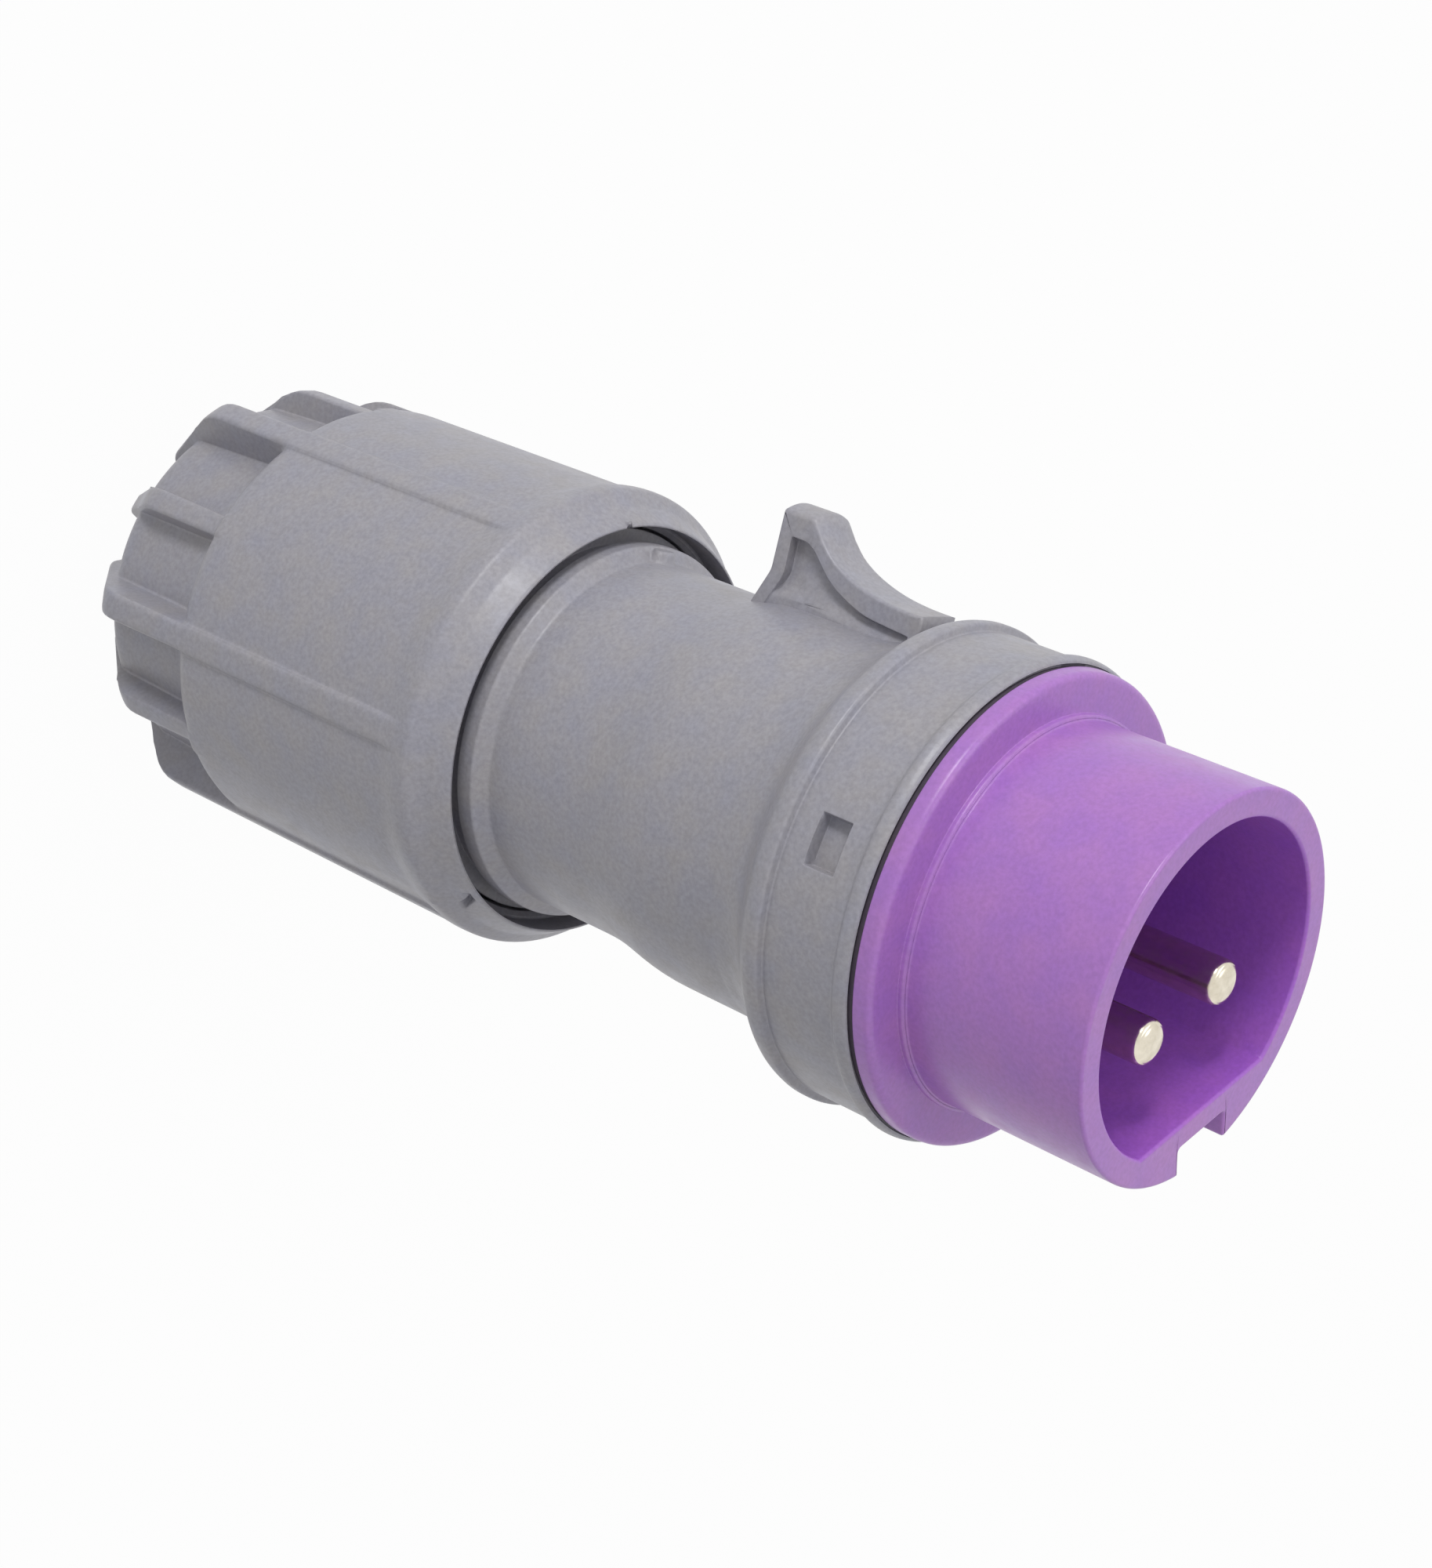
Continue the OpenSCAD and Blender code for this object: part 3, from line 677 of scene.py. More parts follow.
        to_flat = self.cavity_flat / np.maximum(np.cos(np.radians(turns)), 0.1)
        reach = np.minimum(self.cavity_r, to_flat)
        cavity = np.c_[reach * np.cos(a), reach * np.sin(a)]
        inner = np.r_[
            np.c_[-edge * sine, self.rim_z - edge * cosine],
            np.c_[np.zeros(10), np.linspace(self.rim_z - 1.4, self.floor_z + 1.2, 10)],
            np.c_[root * cosine, self.floor_z + root * sine],
        ]
        inner_rows = np.stack([self.at_height(moved_in(cavity, d), z) for d, z in inner])
        shares = (0.75, 0.5, 0.25, 0.03)
        floor = np.stack([self.at_height(cavity * k, self.floor_z) for k in shares])
        across = np.array([0.05, 0.95])[:, None, None]
        rim = outer_rows[-1] + across * (inner_rows[0] - outer_rows[-1])
        return np.r_[round_rows, outer_rows, rim, inner_rows, floor]

    @staticmethod
    def at_height(section: Floats, z: float) -> Floats:
        """A section's points lifted to a height."""
        return np.column_stack([section, np.full(len(section), z)])

    def build(self, material: Material) -> None:
        """Makes the piece."""
        piece = Piece("violet_shroud", "plug_body", Slot.SHROUD, ("shroud",))
        piece.make(Shell.from_grid(self.grid(), Ends.POLES), material)


@dataclass
class ContactPins:
    """Two domed contact pins, each with its collar and its terminal barrel."""

    across: float = 14.0
    shift: float = 4.1
    pin_r: float = 2.7
    tip_z: float = 161.5
    nose: float = 1.1
    crown: float = 0.12
    sides: int = 64

    def outline(self) -> Floats:
        """Radius and height, from the end of the wire bore round the barrel to the domed tip.

        The tip's edge is a quarter circle of the radius nose, drawn as two equal roundings that
        each take nose tan(22.5 degrees) from the straights beside them.

        Returns:
            Radius and height of each point.
        """
        top = self.tip_z - self.crown
        reach = self.nose * np.tan(np.radians(22.5))
        return rounded([
            (0.2, 116.0, 0.1, 1), (2.2, 116.0, 0.3, 4), (2.2, 104.0, 0.25, 1),
            (4.0, 104.0, 0.4, 8), (4.0, 125.5, 0.1), (5.0, 125.5, 0.2), (5.0, 128.0, 0.2),
            (3.0, 128.0, 0.1, 1), (3.0, 134.0, 0.05), (self.pin_r, 134.0, 0.05, 10),
            (self.pin_r, top - self.nose + reach, reach),
            (self.pin_r - self.nose + reach, top, reach, 3), (0.9, self.tip_z - 0.015, 0.5, 1),
            (0.1, self.tip_z),
        ])

    def build(self, material: Material) -> None:
        """Makes both pins.

        Args:
            material: their material.
        """
        grid = revolved(self.outline(), np.arange(self.sides) * 360 / self.sides)
        for side, word in ((-1, "left"), (1, "right")):
            place = grid + np.array([side * self.across / 2, self.shift, 0.0])
            piece = Piece(f"pin_{word}", "plug_body", Slot.CONTACT, (f"contact_pin_{word}",))
            piece.make(Shell.from_grid(place, Ends.POLES), material)


@dataclass
class Thread:
    """A trapezoid thread of one start, right-handed: its ridge climbs with the angle."""

    pitch: float = 4.0
    height: float = 0.6
    crest: float = 0.16
    flank: float = 0.1

    def ridge(self, degrees: Floats, z: Floats, phase: float, run: Sequence[float]) -> Floats:
        """Height of the ridge.

        u is the share of a pitch between the point and the ridge's middle, from the height less
        pitch times turns. The ridge is full up to crest, and falls to 0 over flank.

        Args:
            degrees: angles of the points.
            z: their heights.
            phase: share of a pitch by which the ridge is shifted.
            run: the heights from which to which it rises, then those over which it dies away.

        Returns:
            How far the ridge stands out of the thread's root, in millimetres.
        """
        u = np.abs((z / self.pitch - degrees / 360 + phase + 0.5) % 1 - 0.5)
        ends = ease(z, *run[:2]) * (1 - ease(z, *run[2:]))
        return ends * (self.height * (1 - ease(u, self.crest, self.crest + self.flank)))


@dataclass
class LatchTab:
    """Tab that the socket's latch holds, with a recess in each side and a crowned top."""

    bearing: float = 246.5
    half_width: float = 3.4
    half_web: float = 1.9
    hollow_r: float = 4.0
    hollow_foot: float = 23.7
    recess_middle: Pair = (24.6, 101.5)
    recess_runout: Pair = (104.0, 112.0)
    crown: float = 0.95
    crown_from: Pair = (31.0, 34.2)
    edge: float = 0.4
    foot_r: float = 21.0

    @staticmethod
    def outline(back: Sequence[Row], sweep: Sequence[Pair]) -> Floats:
        """Closed outline of radius and height.

        Args:
            back: corners from the foot, inside the housing's wall, up the rear and over the top.
            sweep: points from there down the hollow front.

        Returns:
            Points, one row each; equal fills give equal counts.
        """
        foot, front = back[0][:2], spline(sweep, 24)[1:]
        down = np.linspace(front[-1], (foot[0], front[-1, 1]), 5)[1:]
        home = np.linspace(down[-1], foot, 10)[1:-1]
        rear = rounded([*back, sweep[0]])
        return np.r_[rear, front, down, home]

    def outer(self) -> Floats:
        """The tab's own outline.

        Returns:
            Radius and height of each point.
        """
        return self.outline([
            (self.foot_r, 93.1, 0.1, 1), (22.5, 93.7, 0.2, 5), (27.2, 95.7, 0.6, 6),
            (34.4, 95.7, 0.35, 6), (34.4, 100.4, 0.3, 3),
        ], [
            (32.5, 102.1), (30.9, 104.0), (29.8, 106.1), (29.0, 108.4), (28.4, 111.1),
            (28.05, 114.5), (28.0, 118.3),
        ])

    def recess(self) -> Floats:
        """The outline of the recess in each side.

        Returns:
            Radius and height of each point, matched to the tab's own.
        """
        return self.outline([
            (self.foot_r + 0.3, 95.1, 0.1, 1), (22.2, 95.6, 0.2, 5), (27.0, 97.8, 1.0, 6),
            (31.7, 97.7, 0.3, 6), (31.6, 100.2, 0.6, 3),
        ], [
            (30.9, 101.4), (29.6, 102.8), (28.1, 104.6), (26.9, 107.0), (25.9, 110.0),
            (25.5, 113.5), (25.3, 116.9),
        ])

    def floor_at(self, place: Floats) -> Floats:
        """Distance of the recess's floor from the middle plane.

        It is the web's half at first and runs out to the foot in a hollow of radius R: at the
        height h over the foot it gains (R - sqrt(R^2 - (R - h)^2)) (1 - e / 2), with e the soft
        step towards the front, up to just under the side.

        Args:
            place: radius and height of each point.

        Returns:
            One distance for each point.
        """
        height = np.clip((place[:, 0] - self.hollow_foot) / self.hollow_r, 0, 1)
        gain = self.hollow_r * (1 - np.sqrt(1 - (1 - height) ** 2))
        ahead = 1 - 0.5 * ease(place[:, 1], *self.recess_runout)
        return np.minimum(self.half_web + gain * ahead, self.half_width - 0.15)

    def grid(self) -> Floats:
        """Rings of the outline from one recess's floor over the side, across and to the other.

        Each ring is the recess's or the tab's outline, moved in by an amount, at a distance from
        the tab's middle plane. The top is raised by crown (1 - (s / half width)^2) at distance s.

        Returns:
            Rows by columns by three coordinates.
        """
        hole, form = self.recess(), self.outer()
        side, edge = self.half_width, self.edge
        web = self.floor_at(hole)
        middle = np.array(self.recess_middle)
        rings = []
        for k in (0.04, 0.3, 0.55, 0.78, 0.93):
            inside = middle + k * (hole - middle)
            rings.append((inside, 0.0, self.floor_at(inside)))
        rings += [(hole, 0.15, web), (hole, 0.04, web + 0.05), (hole, 0.0, web + 0.15)]
        rings += [(hole, 0.0, side - 0.12), (hole, -0.04, side - 0.04), (hole, -0.15, side)]
        rings += [(form, edge * (1 - np.sin(t)), side - edge * (1 - np.cos(t))) for t in QUARTER]
        rings += [(form, 0.0, s) for s in np.linspace(side - edge, 0, 7)[1:]]
        rings += [(line, depth, -s) for line, depth, s in rings[-2::-1]]
        lateral = np.stack([s + 0 * hole[:, 0] for _, _, s in rings])
        flat = np.stack([moved_in(line, depth) if depth else line for line, depth, _ in rings])
        own = np.array([line is form for line, _, _ in rings])[:, None]
        on_top = own * (1 - (lateral / side) ** 2) * ease(flat[..., 0], *self.crown_from)
        r, z = flat[..., 0] + self.crown * on_top, flat[..., 1]
        a = np.radians(self.bearing)
        x, y = r * np.cos(a) - lateral * np.sin(a), r * np.sin(a) + lateral * np.cos(a)
        return np.stack([x, y, z], axis=-1)


@dataclass
class Housing:
    """Grey moulding: threaded spigot, shoulder, waist, grip, flare, bead, band, lip and tab."""

    thread: Thread
    spigot_z: float = 50.0
    spigot_r: float = 24.5
    thread_run: tuple[float, ...] = (51.0, 53.0, 66.2, 68.2)
    land_z: Pair = (68.8, 69.9)
    boss_middle: float = 245.3
    boss_z: float = 76.4
    boss_r: float = 23.95
    boss_half: Pair = (1.9, 1.5)
    boss_span: float = 5.3
    neck_r: float = 22.6
    neck_z: Pair = (75.0, 80.0)
    window_middle: float = 323.3
    window_half: float = 6.05
    window_z: Pair = (128.05, 132.0)
    window_depth: float = 1.7
    socket_r: float = 25.5
    groove_r: float = 26.5
    groove_z: Pair = (122.9, 125.9)
    groove_from: float = -12.0
    groove_span: float = 48.0

    def outline(self) -> tuple[Floats, int]:
        """Radius and height of the closed outline, up the outside and down the inside.

        Returns:
            The points, and the number of the first one that belongs to the inside.
        """
        low = rounded([
            (21.0, self.spigot_z, 0.2, 1), (self.spigot_r, self.spigot_z, 0.4, 46),
            (self.spigot_r, self.land_z[0], 0.1), (25.05, self.land_z[0], 0.15, 1),
            (25.05, self.land_z[1], 0.15, 1), (23.0, self.land_z[1], 0.2, 1), (23.0, 72.6, 0.2, 1),
            (24.15, 72.6, 0.15, 1), (24.15, 75.05, 0.35, 4), (22.5, 76.15, 0.4, 9),
            (22.5, 78.8, 0.1, 10), (22.5, 91.5, 3.0, 3), (24.1, 99.5, 3.0, 6),
            (24.1, 113.0, 0.5), (24.1, 113.6),
        ])
        flare = spline([
            (24.1, 113.6), (24.6, 116.4), (25.5, 118.6), (26.9, 120.3), (28.3, 121.6),
            (29.0, 122.5), (29.3, 123.5),
        ], 34)[1:-1]
        bead = rounded([
            (29.3, 123.5, 0.1, 1), (29.3, 124.6, 0.35), (28.4, 124.85, 0.15), (28.4, 125.1, 0.1),
            (28.45, 125.4),
        ])
        spread = np.array([-0.5, -0.25, -0.12, -0.05, 0.0, 0.05, 0.12, 0.25, 0.5])
        sill, head = (z + spread for z in self.window_z)
        heights = np.array([125.8, 126.5, 127.2, *sill, 129.2, 130.05, 130.9, *head])
        band = np.c_[np.full(len(heights), 28.45), heights]
        lip = rounded([
            (28.45, 133.2, 0.1, 1), (28.42, 134.7, 0.35), (28.98, 135.3, 0.35),
            (28.98, 136.05, 0.3, 1), (28.65, 136.88, 0.3), (28.3, 136.88, 0.1), (28.3, 136.6),
        ])
        top = 136.6
        foot, head = (self.near(z) for z in self.groove_z)
        levels = [top, 136.3, 134.0, 131.0, 128.0, *head, 124.4, *foot, 121.5]
        wall = np.c_[np.full(len(levels), self.socket_r), np.array(levels)]
        rest = rounded([
            (24.6, 121.5, 0.1, 1), (19.3, 121.5, 0.3, 10), (19.3, 60.0, 0.2, 1),
            (21.0, 60.0, 0.2, 4), (21.0, 51.0),
        ])
        outside = np.r_[low, flare, bead, band, lip, [[26.8, top]]]
        return np.r_[outside, wall, rest], len(outside)

    @staticmethod
    def near(z: float) -> list[float]:
        """Heights just above and below an edge, from the top down."""
        return [z + 0.2, z + 0.07, z - 0.07, z - 0.2]

    def angles(self) -> Floats:
        """Angles of the columns, closer together at window, grooves and raised mark.

        Returns:
            Sorted angles in degrees.
        """
        sides = [self.window_middle - self.window_half, self.window_middle + self.window_half]
        even = columns(240, sides, [-0.9, -0.4, -0.2, -0.08, 0.0, 0.08, 0.2, 0.4, 0.9])
        stops = np.array([0, self.groove_span / 2, self.groove_span])
        grooves = (self.groove_from + np.array(LUG_BEARINGS)[:, None] + stops).ravel()
        even = even[clearance(even, grooves) > 0.5]
        own = (grooves[:, None] + np.array([-0.25, 0.25])).ravel() % 360
        fine = (self.boss_middle + np.linspace(-self.boss_span, self.boss_span, 23)) % 360
        even = even[clearance(even, np.array([self.boss_middle])) > self.boss_span + 0.5]
        return np.unique(np.r_[even, own, fine])

    def grid(self) -> Floats:
        """The outline turned round the axis, with radii changed where something is cut or raised.

        Outside, the thread's ridge is added and the window's depth taken off. Inside, the socket
        gets a groove for each bayonet lug: a way in along the axis and a stretch to turn in.

        Returns:
            Rows by columns by three coordinates.
        """
        outline, inside = self.outline()
        angle = self.angles()
        grid = revolved(outline, angle)
        r, z, a = outline[:, :1], outline[:, 1:], angle[None, :]
        outer = (np.arange(len(outline)) < inside)[:, None]

        on_spigot = (np.abs(r - self.spigot_r) < HAIR) & outer
        change = on_spigot * self.thread.ridge(a, z, 0.5, self.thread_run)

        half = self.window_half
        across = centred(turn_from(a, self.window_middle), -half, half, 0.2)
        change = change - outer * self.window_depth * across * centred(z, *self.window_z, 0.12)

        aside = np.radians(turn_from(a, self.boss_middle)) * self.neck_r / self.boss_half[0]
        far = np.sqrt(aside**2 + ((z - self.boss_z) / self.boss_half[1]) ** 2)
        on_neck = outer & (r < self.boss_r) & (z > self.neck_z[0]) & (z < self.neck_z[1])
        change = change + on_neck * (self.boss_r - r) * (1 - ease(far, 0.7, 1.0))

        socket = ~outer & (np.abs(r - self.socket_r) < HAIR)
        half, foot = self.groove_span / 2, self.groove_z[0]
        belt, above = centred(z, *self.groove_z, 0.2), ease(z, foot - 0.1, foot + 0.1)
        for bearing in LUG_BEARINGS:
            aside = turn_from(a, self.groove_from + bearing + half)
            track, way_in = between(aside, -half, half, 0.5), between(aside, 0, half, 0.5)
            cut = np.maximum(track * belt, way_in * above)
            change = change + socket * cut * (self.groove_r - self.socket_r)
        grid[..., :2] *= (1 + change / r)[..., None]
        return grid

    def build(self, material: Material) -> None:
        """Makes the piece, shell and tab together.

        Args:
            material: its material.
        """
        shell = Shell.from_grid(self.grid(), Ends.LOOP)
        tab = Shell.from_grid(LatchTab().grid(), Ends.POLES)
        piece = Piece("grip_housing", "plug_body", Slot.HOUSING, ("housing",))
        piece.make(shell.joined(tab), material)


@dataclass(frozen=True)
class Nick:
    """A nick in the nut's nose, from one height to another at an angle.

    push is how far the surface moves out (in if negative), slant the degrees that the nick turns
    per millimetre of height and half its half width in degrees.
    """

    middle: float
    start: float
    end: float
    push: float
    slant: float
    half: float

    def depth(self, degrees: Floats, z: Floats) -> Floats:
        """How far the surface moves: push, with a soft step at each side and end of the nick.

        Args:
            degrees: angles of the points.
            z: their heights.

        Returns:
            Millimetres outwards for each point.
        """
        centre = self.middle + self.slant * (z - (self.start + self.end) / 2)
        across = between(turn_from(degrees, centre), -self.half, self.half, 0.4 * self.half)
        return self.push * across * between(z, self.start, self.end, 0.35)


@dataclass
class GlandNut:
    """Big grey nut: fins and ribs outside; cable hole, ring seat and thread inside."""

    thread: Thread
    fin_count: int = 12
    first_rib: float = 40.5
    rib_width: float = 3.6
    fin_width: float = 3.0
    draft: float = 0.15
    root_round: float = 0.4
    tip_round: float = 0.7
    bore_r: float = 25.4
    bore_z: Pair = (44.2, 69.8)
    thread_run: tuple[float, ...] = (45.7, 47.7, 66.8, 68.6)
    least_r: float = 17.0
    mouth_r: float = 26.15
    wall_r: float = 29.3
    rib_r: float = 29.82
    fin_r: float = 28.1
    nose_at: Pair = (27.5, 72.0)
    nose_edge: Pair = (26.05, 26.45)
    nose_wall: float = 0.2
    nick_span: float = 2.9
    nick_columns: int = 18
    nicks: tuple[Nick, ...] = (
        Nick(29.9, 71.0, 73.3, -1.5, -1.7, 1.5),
        Nick(255.6, 72.3, 74.4, 0.9, 0.0, 0.9),
    )

    def shared_front(self) -> list[Row]:
        """Corners from the collar over the mouth and down the inside to the rear face.

        Returns:
            Rows of corners.
        """
        return [
            (29.98, 67.8, 0.9), (29.85, 69.3, 0.45, 2), (28.2, 71.0, 0.3, 12),
            (26.7, 73.95, 0.25), (26.4, 74.1, 0.12), (self.mouth_r, 73.85, 0.1, 9),
            (26.1, 70.3, 0.15, 1), (self.bore_r, self.bore_z[1], 0.15, 54),
            (self.bore_r, self.bore_z[0], 0.15, 2), (20.5, self.bore_z[0], 0.2, 8),
            (20.5, 14.0, 0.2, 2), (17.5, 14.0, 0.2, 1), (17.5, 12.0, 0.3, 3), (9.0, 4.0, 0.3, 2),
        ]

    def outlines(self) -> tuple[Floats, Floats, Floats]:
        """Matched outlines between the fins, along a long rib and along a short fin.

        Returns:
            The three outlines in that order.
        """
        start, wall_end = (9.0, 0.0, 0.5, 4), (self.wall_r, 64.6, 1.0, 3)
        hub = [
            (17.0, 0.0, 0.8, 5), (24.4, 7.1, 1.6, 10), (25.0, 23.2, 2.0, 2),
            (self.wall_r, 26.8, 1.6, 16), wall_end,
        ]
        rib = [
            (19.8, 0.0, 0.8, 5), (self.rib_r, 11.4, 2.7, 10), (self.rib_r, 24.0, 0.2, 2),
            (self.rib_r, 27.4, 0.3, 16), (self.rib_r, 65.4, 0.5, 3),
        ]
        fin = [
            (19.6, 0.0, 0.8, 5), (self.fin_r, 11.2, 2.4, 10), (self.fin_r, 25.4, 0.4, 2),
            (self.wall_r, 26.8, 0.6, 16), wall_end,
        ]
        front = self.shared_front()
        lines = [rounded([start, *own, *front], closed=True) for own in (hub, rib, fin)]
        return lines[0], lines[1], lines[2]

    def sector(self, width: float) -> dict[str, Floats]:
        """Columns of one fin and half the gap on each side of it.

        Across a fin, a column stands at a lateral distance from the fin's middle. It is measured
        down from the tip by drop, over the tip's rounding, or up from the hub by rise, over the
        root's fillet. In the gap, share is its place on the way to the middle of the gap.

        Args:
            width: the fin's width at its tip.

        Returns:
            Arrays side, lateral, share, drop, rise and high (1 where drop counts).
        """
        arc = QUARTER[::-1]
        half, tip, root = width / 2, self.tip_round, self.root_round
        top, gap = np.array([0.0, 0.5]) * (half - tip), np.array([0.2, 0.45, 0.72, 1.0])
        foot = half + self.draft + root
        over, under = np.zeros(len(top) + len(arc)), np.zeros(len(arc) + len(gap))
        lateral = np.r_[
            top, half - tip * (1 - np.cos(arc)), foot - root * np.sin(arc), foot + 0 * gap,
        ]
        right = {
            "lateral": lateral,
            "drop": np.r_[0 * top, tip * (1 - np.sin(arc)), under],
            "rise": np.r_[over, root * (1 - np.cos(arc)), 0 * gap],
            "high": np.r_[over + 1, under],
            "share": np.r_[over, 0 * arc, gap],
        }
        return {name: np.r_[value[-2:0:-1], value] for name, value in right.items()} | {
            "side": np.r_[-np.ones(len(lateral) - 2), np.ones(len(lateral))],
        }

    def grid(self) -> Floats:
        """Rows are matched points of the outlines, columns run over the fins and gaps.

        A point lies between the hub's outline H and the fin's outline F, as H + h (F - H). Its
        angle from the fin's middle is asin(lateral / r), so that a fin's sides stay parallel, and
        in a gap it runs on to the middle between two fins by share.

        Returns:
            Rows by columns by three coordinates.
        """
        hub, rib, fin = self.outlines()
        grids = []
        pitch = 360 / self.fin_count
        for i in range(self.fin_count):
            long = i % 2 == 0
            ridge = rib if long else fin
            col = self.sector(self.rib_width if long else self.fin_width)
            step = ridge - hub
            height = np.linalg.norm(step, axis=1)[:, None]
            safe = np.maximum(height, 1e-6)
            down = col["drop"][None, :] * np.minimum(1, height / (2 * self.tip_round))
            up = col["rise"][None, :] * np.minimum(1, height / (2 * self.root_round))
            h = np.where(col["high"][None, :] > 0, 1 - down / safe, up / safe)
            place = hub[:, None, :] + h[..., None] * step[:, None, :]
            reach = np.maximum(place[..., 0], self.least_r)
            at_fin = np.degrees(np.arcsin(col["lateral"][None, :] / reach))
            turn = at_fin + col["share"][None, :] * (pitch / 2 - at_fin)
            angle = self.first_rib + pitch * i + col["side"][None, :] * turn
            grids.append(np.concatenate([place, angle[..., None]], axis=-1))
        full = np.concatenate(grids, axis=1)
        spread = np.linspace(-self.nick_span, self.nick_span, self.nick_columns)
        own = np.sort([nick.middle + d for nick in self.nicks for d in spread])
        nose = int(np.argmin(np.abs(hub - np.array(self.nose_at)).sum(axis=1)))
        full = self.with_columns(full, nose, own)
        r, z, angle = full[..., 0], full[..., 1], full[..., 2]
        low, high = self.nose_edge
        for nick in self.nicks:
            at_nose = r > high if nick.push < 0 else (r > low) & (r < high)
            least = self.mouth_r + self.nose_wall - r
            r = r + np.maximum(nick.depth(angle, z), least) * at_nose
        on_bore = np.abs(r - self.bore_r) < HAIR
        r = r - on_bore * self.thread.ridge(angle, z, 0.0, self.thread_run)
        a = np.radians(angle)
        return np.stack([r * np.cos(a), r * np.sin(a), z], axis=-1)

    @staticmethod
    def with_columns(full: Floats, row: int, degrees: Floats) -> Floats:
        """Adds columns to a grid of (radius, height, angle), by straight lines between its own.

        Args:
            full: the grid, with its angles rising along each row.
            row: the row at which the new columns have the angles asked for.
            degrees: these angles, rising.

        Returns:
            The grid with the new columns in their places.
        """
        where = np.interp(degrees, full[row, :, 2], np.arange(full.shape[1]))
        before = where.astype(int)
        share = (where - before)[None, :, None]
        new = full[:, before] * (1 - share) + full[:, before + 1] * share
        return np.insert(full, before + 1, new, axis=1)

    def build(self, material: Material) -> None:
        """Makes the piece."""
        piece = Piece("finned_gland_nut", "gland_nut", Slot.NUT, ("gland_nut",))
        piece.make(Shell.from_grid(self.grid(), Ends.LOOP), material)


class Innards:
    """The solids that stay as they are: seals, screws, retainer, clamp cage and thrust ring."""

    REPLACED = ("shroud", "contact_pin_left", "contact_pin_right", "housing", "gland_nut")

    def dress(self, materials: dict[Slot, Material]) -> None:
        """Gives each solid that still shows the material of its slot in the record.

        Args:
            materials: the material of each slot.
        """
        slots = {part["node"]: part["material_slot"] for part in frame["record"]["subparts"]}
        for name, node in frame["nodes"].items():
            if name in self.REPLACED:
                continue
            material = materials[Slot(slots[name])]
            if not node.material_slots:
                node.data.materials.append(material)
            for slot in node.material_slots:
                slot.material = material
            LOG.info("%s: solid kept, dressed in %s", name, material.name)


# Camera, light and floor


@dataclass(frozen=True)
class PhotoCamera:
    """Pinhole camera at the photograph's viewing angle, found from the edges of the round parts.

    Its angles are given for the plug lying along +X with the sleeve's rim at the origin. That
    frame's (x, y, z) is (-y, -z, x + rim) in the standing frame.
    """

    azimuth: float = 43.6675
    elevation: float = 31.4498
    roll: float = -3.0985
    aside: Triple = (52.656, 22.1062, 320.0)
    focal_px: float = 3819.0677
    long_side_px: float = 2000.0
    rim_z: float = 163.5
    sensor: float = 36.0

    def axes(self) -> Floats:
        """The camera's directions in the lying frame.

        Backwards is (sin az cos el, -cos az cos el, sin el), right is level before the roll, and
        the roll turns right and up about the line of sight.

        Returns:
            Right, up and backwards, one row each.
        """
        az, el, roll = np.radians([self.azimuth, self.elevation, self.roll])
        back = np.array([np.sin(az) * np.cos(el), -np.cos(az) * np.cos(el), np.sin(el)])
        right = np.array([np.cos(az), np.sin(az), 0.0])
        up = np.cross(right, -back)
        turned_right = right * np.cos(roll) + up * np.sin(roll)
        turned_up = up * np.cos(roll) - right * np.sin(roll)
        return np.stack([turned_right, turned_up, back])

    def standing(self) -> tuple[Floats, Floats]:
        """The camera in the standing frame.

        Returns:
            Its axes as columns, and its place in millimetres.
        """
        stand = np.array([[0.0, -1.0, 0.0], [0.0, 0.0, -1.0], [1.0, 0.0, 0.0]])
        right, up, back = self.axes()
        dx, dy, dz = self.aside
        place = -(right * dx - up * dy - back * dz)
        axes = stand @ np.c_[right, up, back]
        return axes, stand @ place + np.array([0, 0, self.rim_z])

    def place(self) -> None:
        """Makes the camera and sets it as the scene's."""
        data = bpy.data.cameras.new("photo camera")
        data.sensor_width, data.sensor_fit = self.sensor, "AUTO"
        data.lens = self.focal_px * self.sensor / self.long_side_px
        data.clip_start, data.clip_end = 0.01, 20.0
        axes, place = self.standing()
        bpy.context.scene.camera = add_object("photo camera", data, axes, place * MM)


@dataclass(frozen=True)
class Lamp:
    """Square lamp that shines at the plug's middle: watts, metres and the direction towards it."""

    name: str
    towards: Triple
    power: float
    size: float
    far: float
    middle: Triple = (0.0, 0.0, 0.082)

    def place(self) -> None:
        """Makes the lamp."""
        data = bpy.data.lights.new(self.name, "AREA")
        data.energy, data.size = self.power, self.size
        back = np.array(self.towards) / np.linalg.norm(self.towards)
        side = np.cross([0.0, 0.0, 1.0], back)
        side /= np.linalg.norm(side)
        axes = np.c_[side, np.cross(back, side), back]
        add_object(self.name, data, axes, np.array(self.middle) + back * self.far)


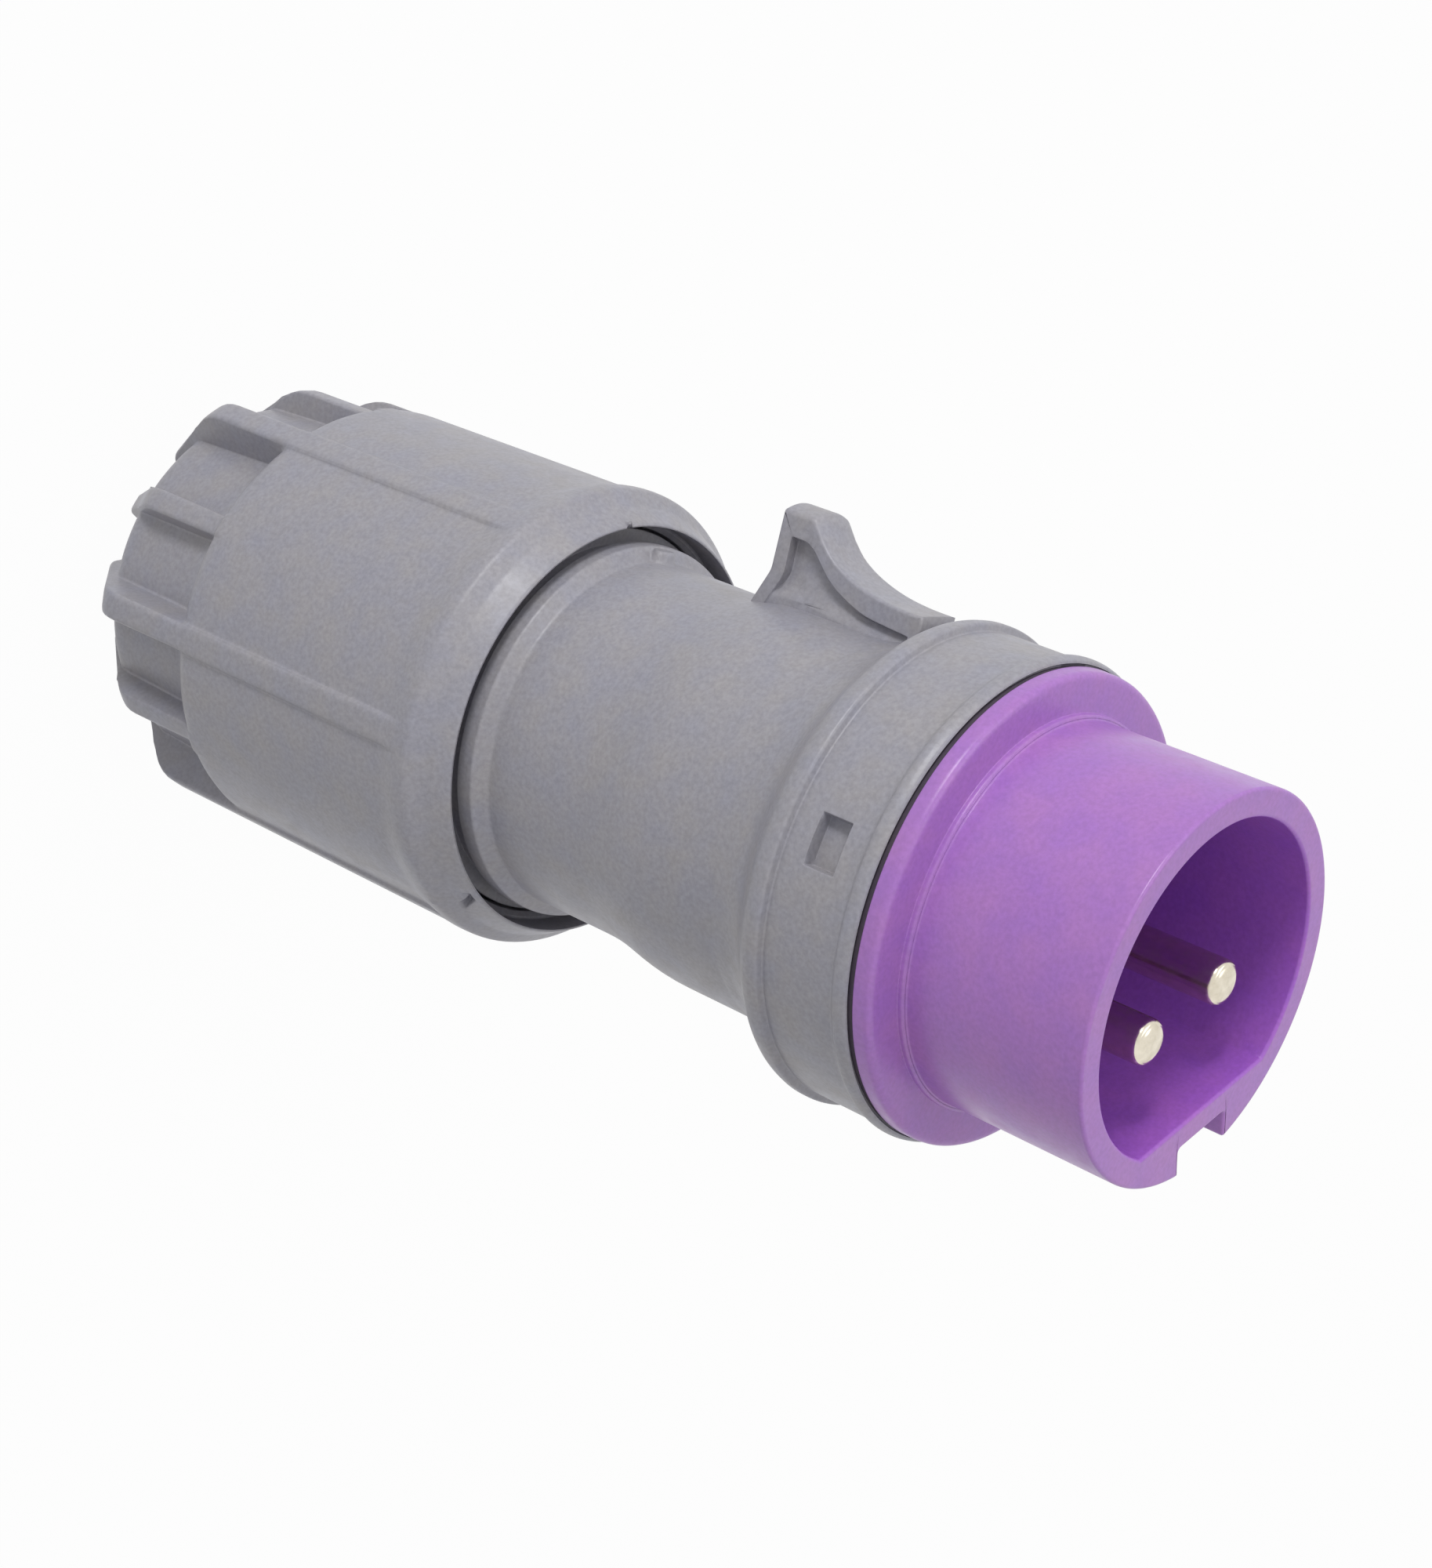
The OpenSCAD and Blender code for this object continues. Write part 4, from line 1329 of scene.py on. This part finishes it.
@dataclass(frozen=True)
class Studio:
    """White surroundings, soft lamps and a pale floor under the nut.

    The key lamp stands on the latch tab's side, low over the floor, and a weaker one in front.
    """

    ambient: float = 0.63
    floor_half: float = 3.0
    floor_cells: int = 8
    floor_z: float = -0.0002
    floor_white: float = 0.97
    floor_greys: Pair = (0.47, 0.49)
    lamps: tuple[Lamp, ...] = (
        Lamp("key lamp", (0.15, -0.97, 0.19), power=3.3, size=0.22, far=0.9),
        Lamp("front lamp", (-0.25, -0.45, 0.85), power=1.9, size=0.7, far=1.0),
    )

    @staticmethod
    def seen(graph: Graph) -> Socket:
        """1 for rays from the camera, from a mirror-like surface and through glass.

        Args:
            graph: the graph that the nodes go into.

        Returns:
            The value.
        """
        path = graph.add("ShaderNodeLightPath", {})
        names = ("Is Camera Ray", "Is Glossy Ray", "Is Transmission Ray")
        camera, glossy, through = (path.outputs[name] for name in names)
        return graph.math("MAXIMUM", graph.math("MAXIMUM", camera, glossy), through)

    def world(self) -> None:
        """White where it is seen, and a plain grey light otherwise."""
        world = bpy.data.worlds.new("white surroundings")
        bpy.context.scene.world = world
        world.use_nodes = True
        graph = Graph(world.node_tree)
        dim = graph.add("ShaderNodeBackground", {"Color": WHITE, "Strength": self.ambient})
        white = graph.add("ShaderNodeBackground", {"Color": WHITE, "Strength": 1.0})
        mix = graph.mixed(self.seen(graph), dim, white)
        graph.add("ShaderNodeOutputWorld", {"Surface": mix})

    def floor(self) -> None:
        """A wide, flat, pale sheet just under the nut, which keeps a faint shadow."""
        material, graph, where = new_material("pale paper")
        drift = graph.ranged(graph.noise(where, 300.0, 2), 0.0, 1.0)
        colour = graph.blend(drift, *((grey, grey, grey, 1) for grey in self.floor_greys))
        matt = graph.add("ShaderNodeBsdfDiffuse", {"Color": colour})
        white = graph.add("ShaderNodeEmission", {"Color": WHITE, "Strength": 1.0})
        share = graph.math("MULTIPLY", self.seen(graph), self.floor_white)
        graph.add("ShaderNodeOutputMaterial", {"Surface": graph.mixed(share, matt, white)})
        row = self.floor_cells + 1
        x, y = np.meshgrid(*[np.linspace(-self.floor_half, self.floor_half, row)] * 2)
        points = np.stack([x, y, np.full_like(x, self.floor_z)], axis=-1).reshape(-1, 3)
        cells = np.arange(self.floor_cells)
        i = (cells[:, None] * row + cells[None, :]).ravel()
        mesh = bpy.data.meshes.new("floor")
        mesh.from_pydata(points, [], np.stack([i, i + 1, i + row + 1, i + row], axis=1).tolist())
        mesh.materials.append(material)
        floor = add_object("floor", mesh)

    def build(self) -> None:
        """Makes the surroundings, the floor and the lamps."""
        self.world()
        self.floor()
        for lamp in self.lamps:
            lamp.place()


def main() -> None:
    """Builds the scene: camera and light, then the plug from its front to its nut."""
    logging.basicConfig(level=logging.INFO, format="%(name)s: %(message)s")
    bpy.context.scene.view_settings.view_transform = "Standard"
    PhotoCamera().place()
    Studio().build()
    materials = {slot: finish.material() for slot, finish in FINISHES.items()}
    Shroud().build(materials[Slot.SHROUD])
    ContactPins().build(materials[Slot.CONTACT])
    thread = Thread()
    Housing(thread).build(materials[Slot.HOUSING])
    GlandNut(thread).build(materials[Slot.NUT])
    Innards().dress(materials)


if __name__ == "__main__":
    main()
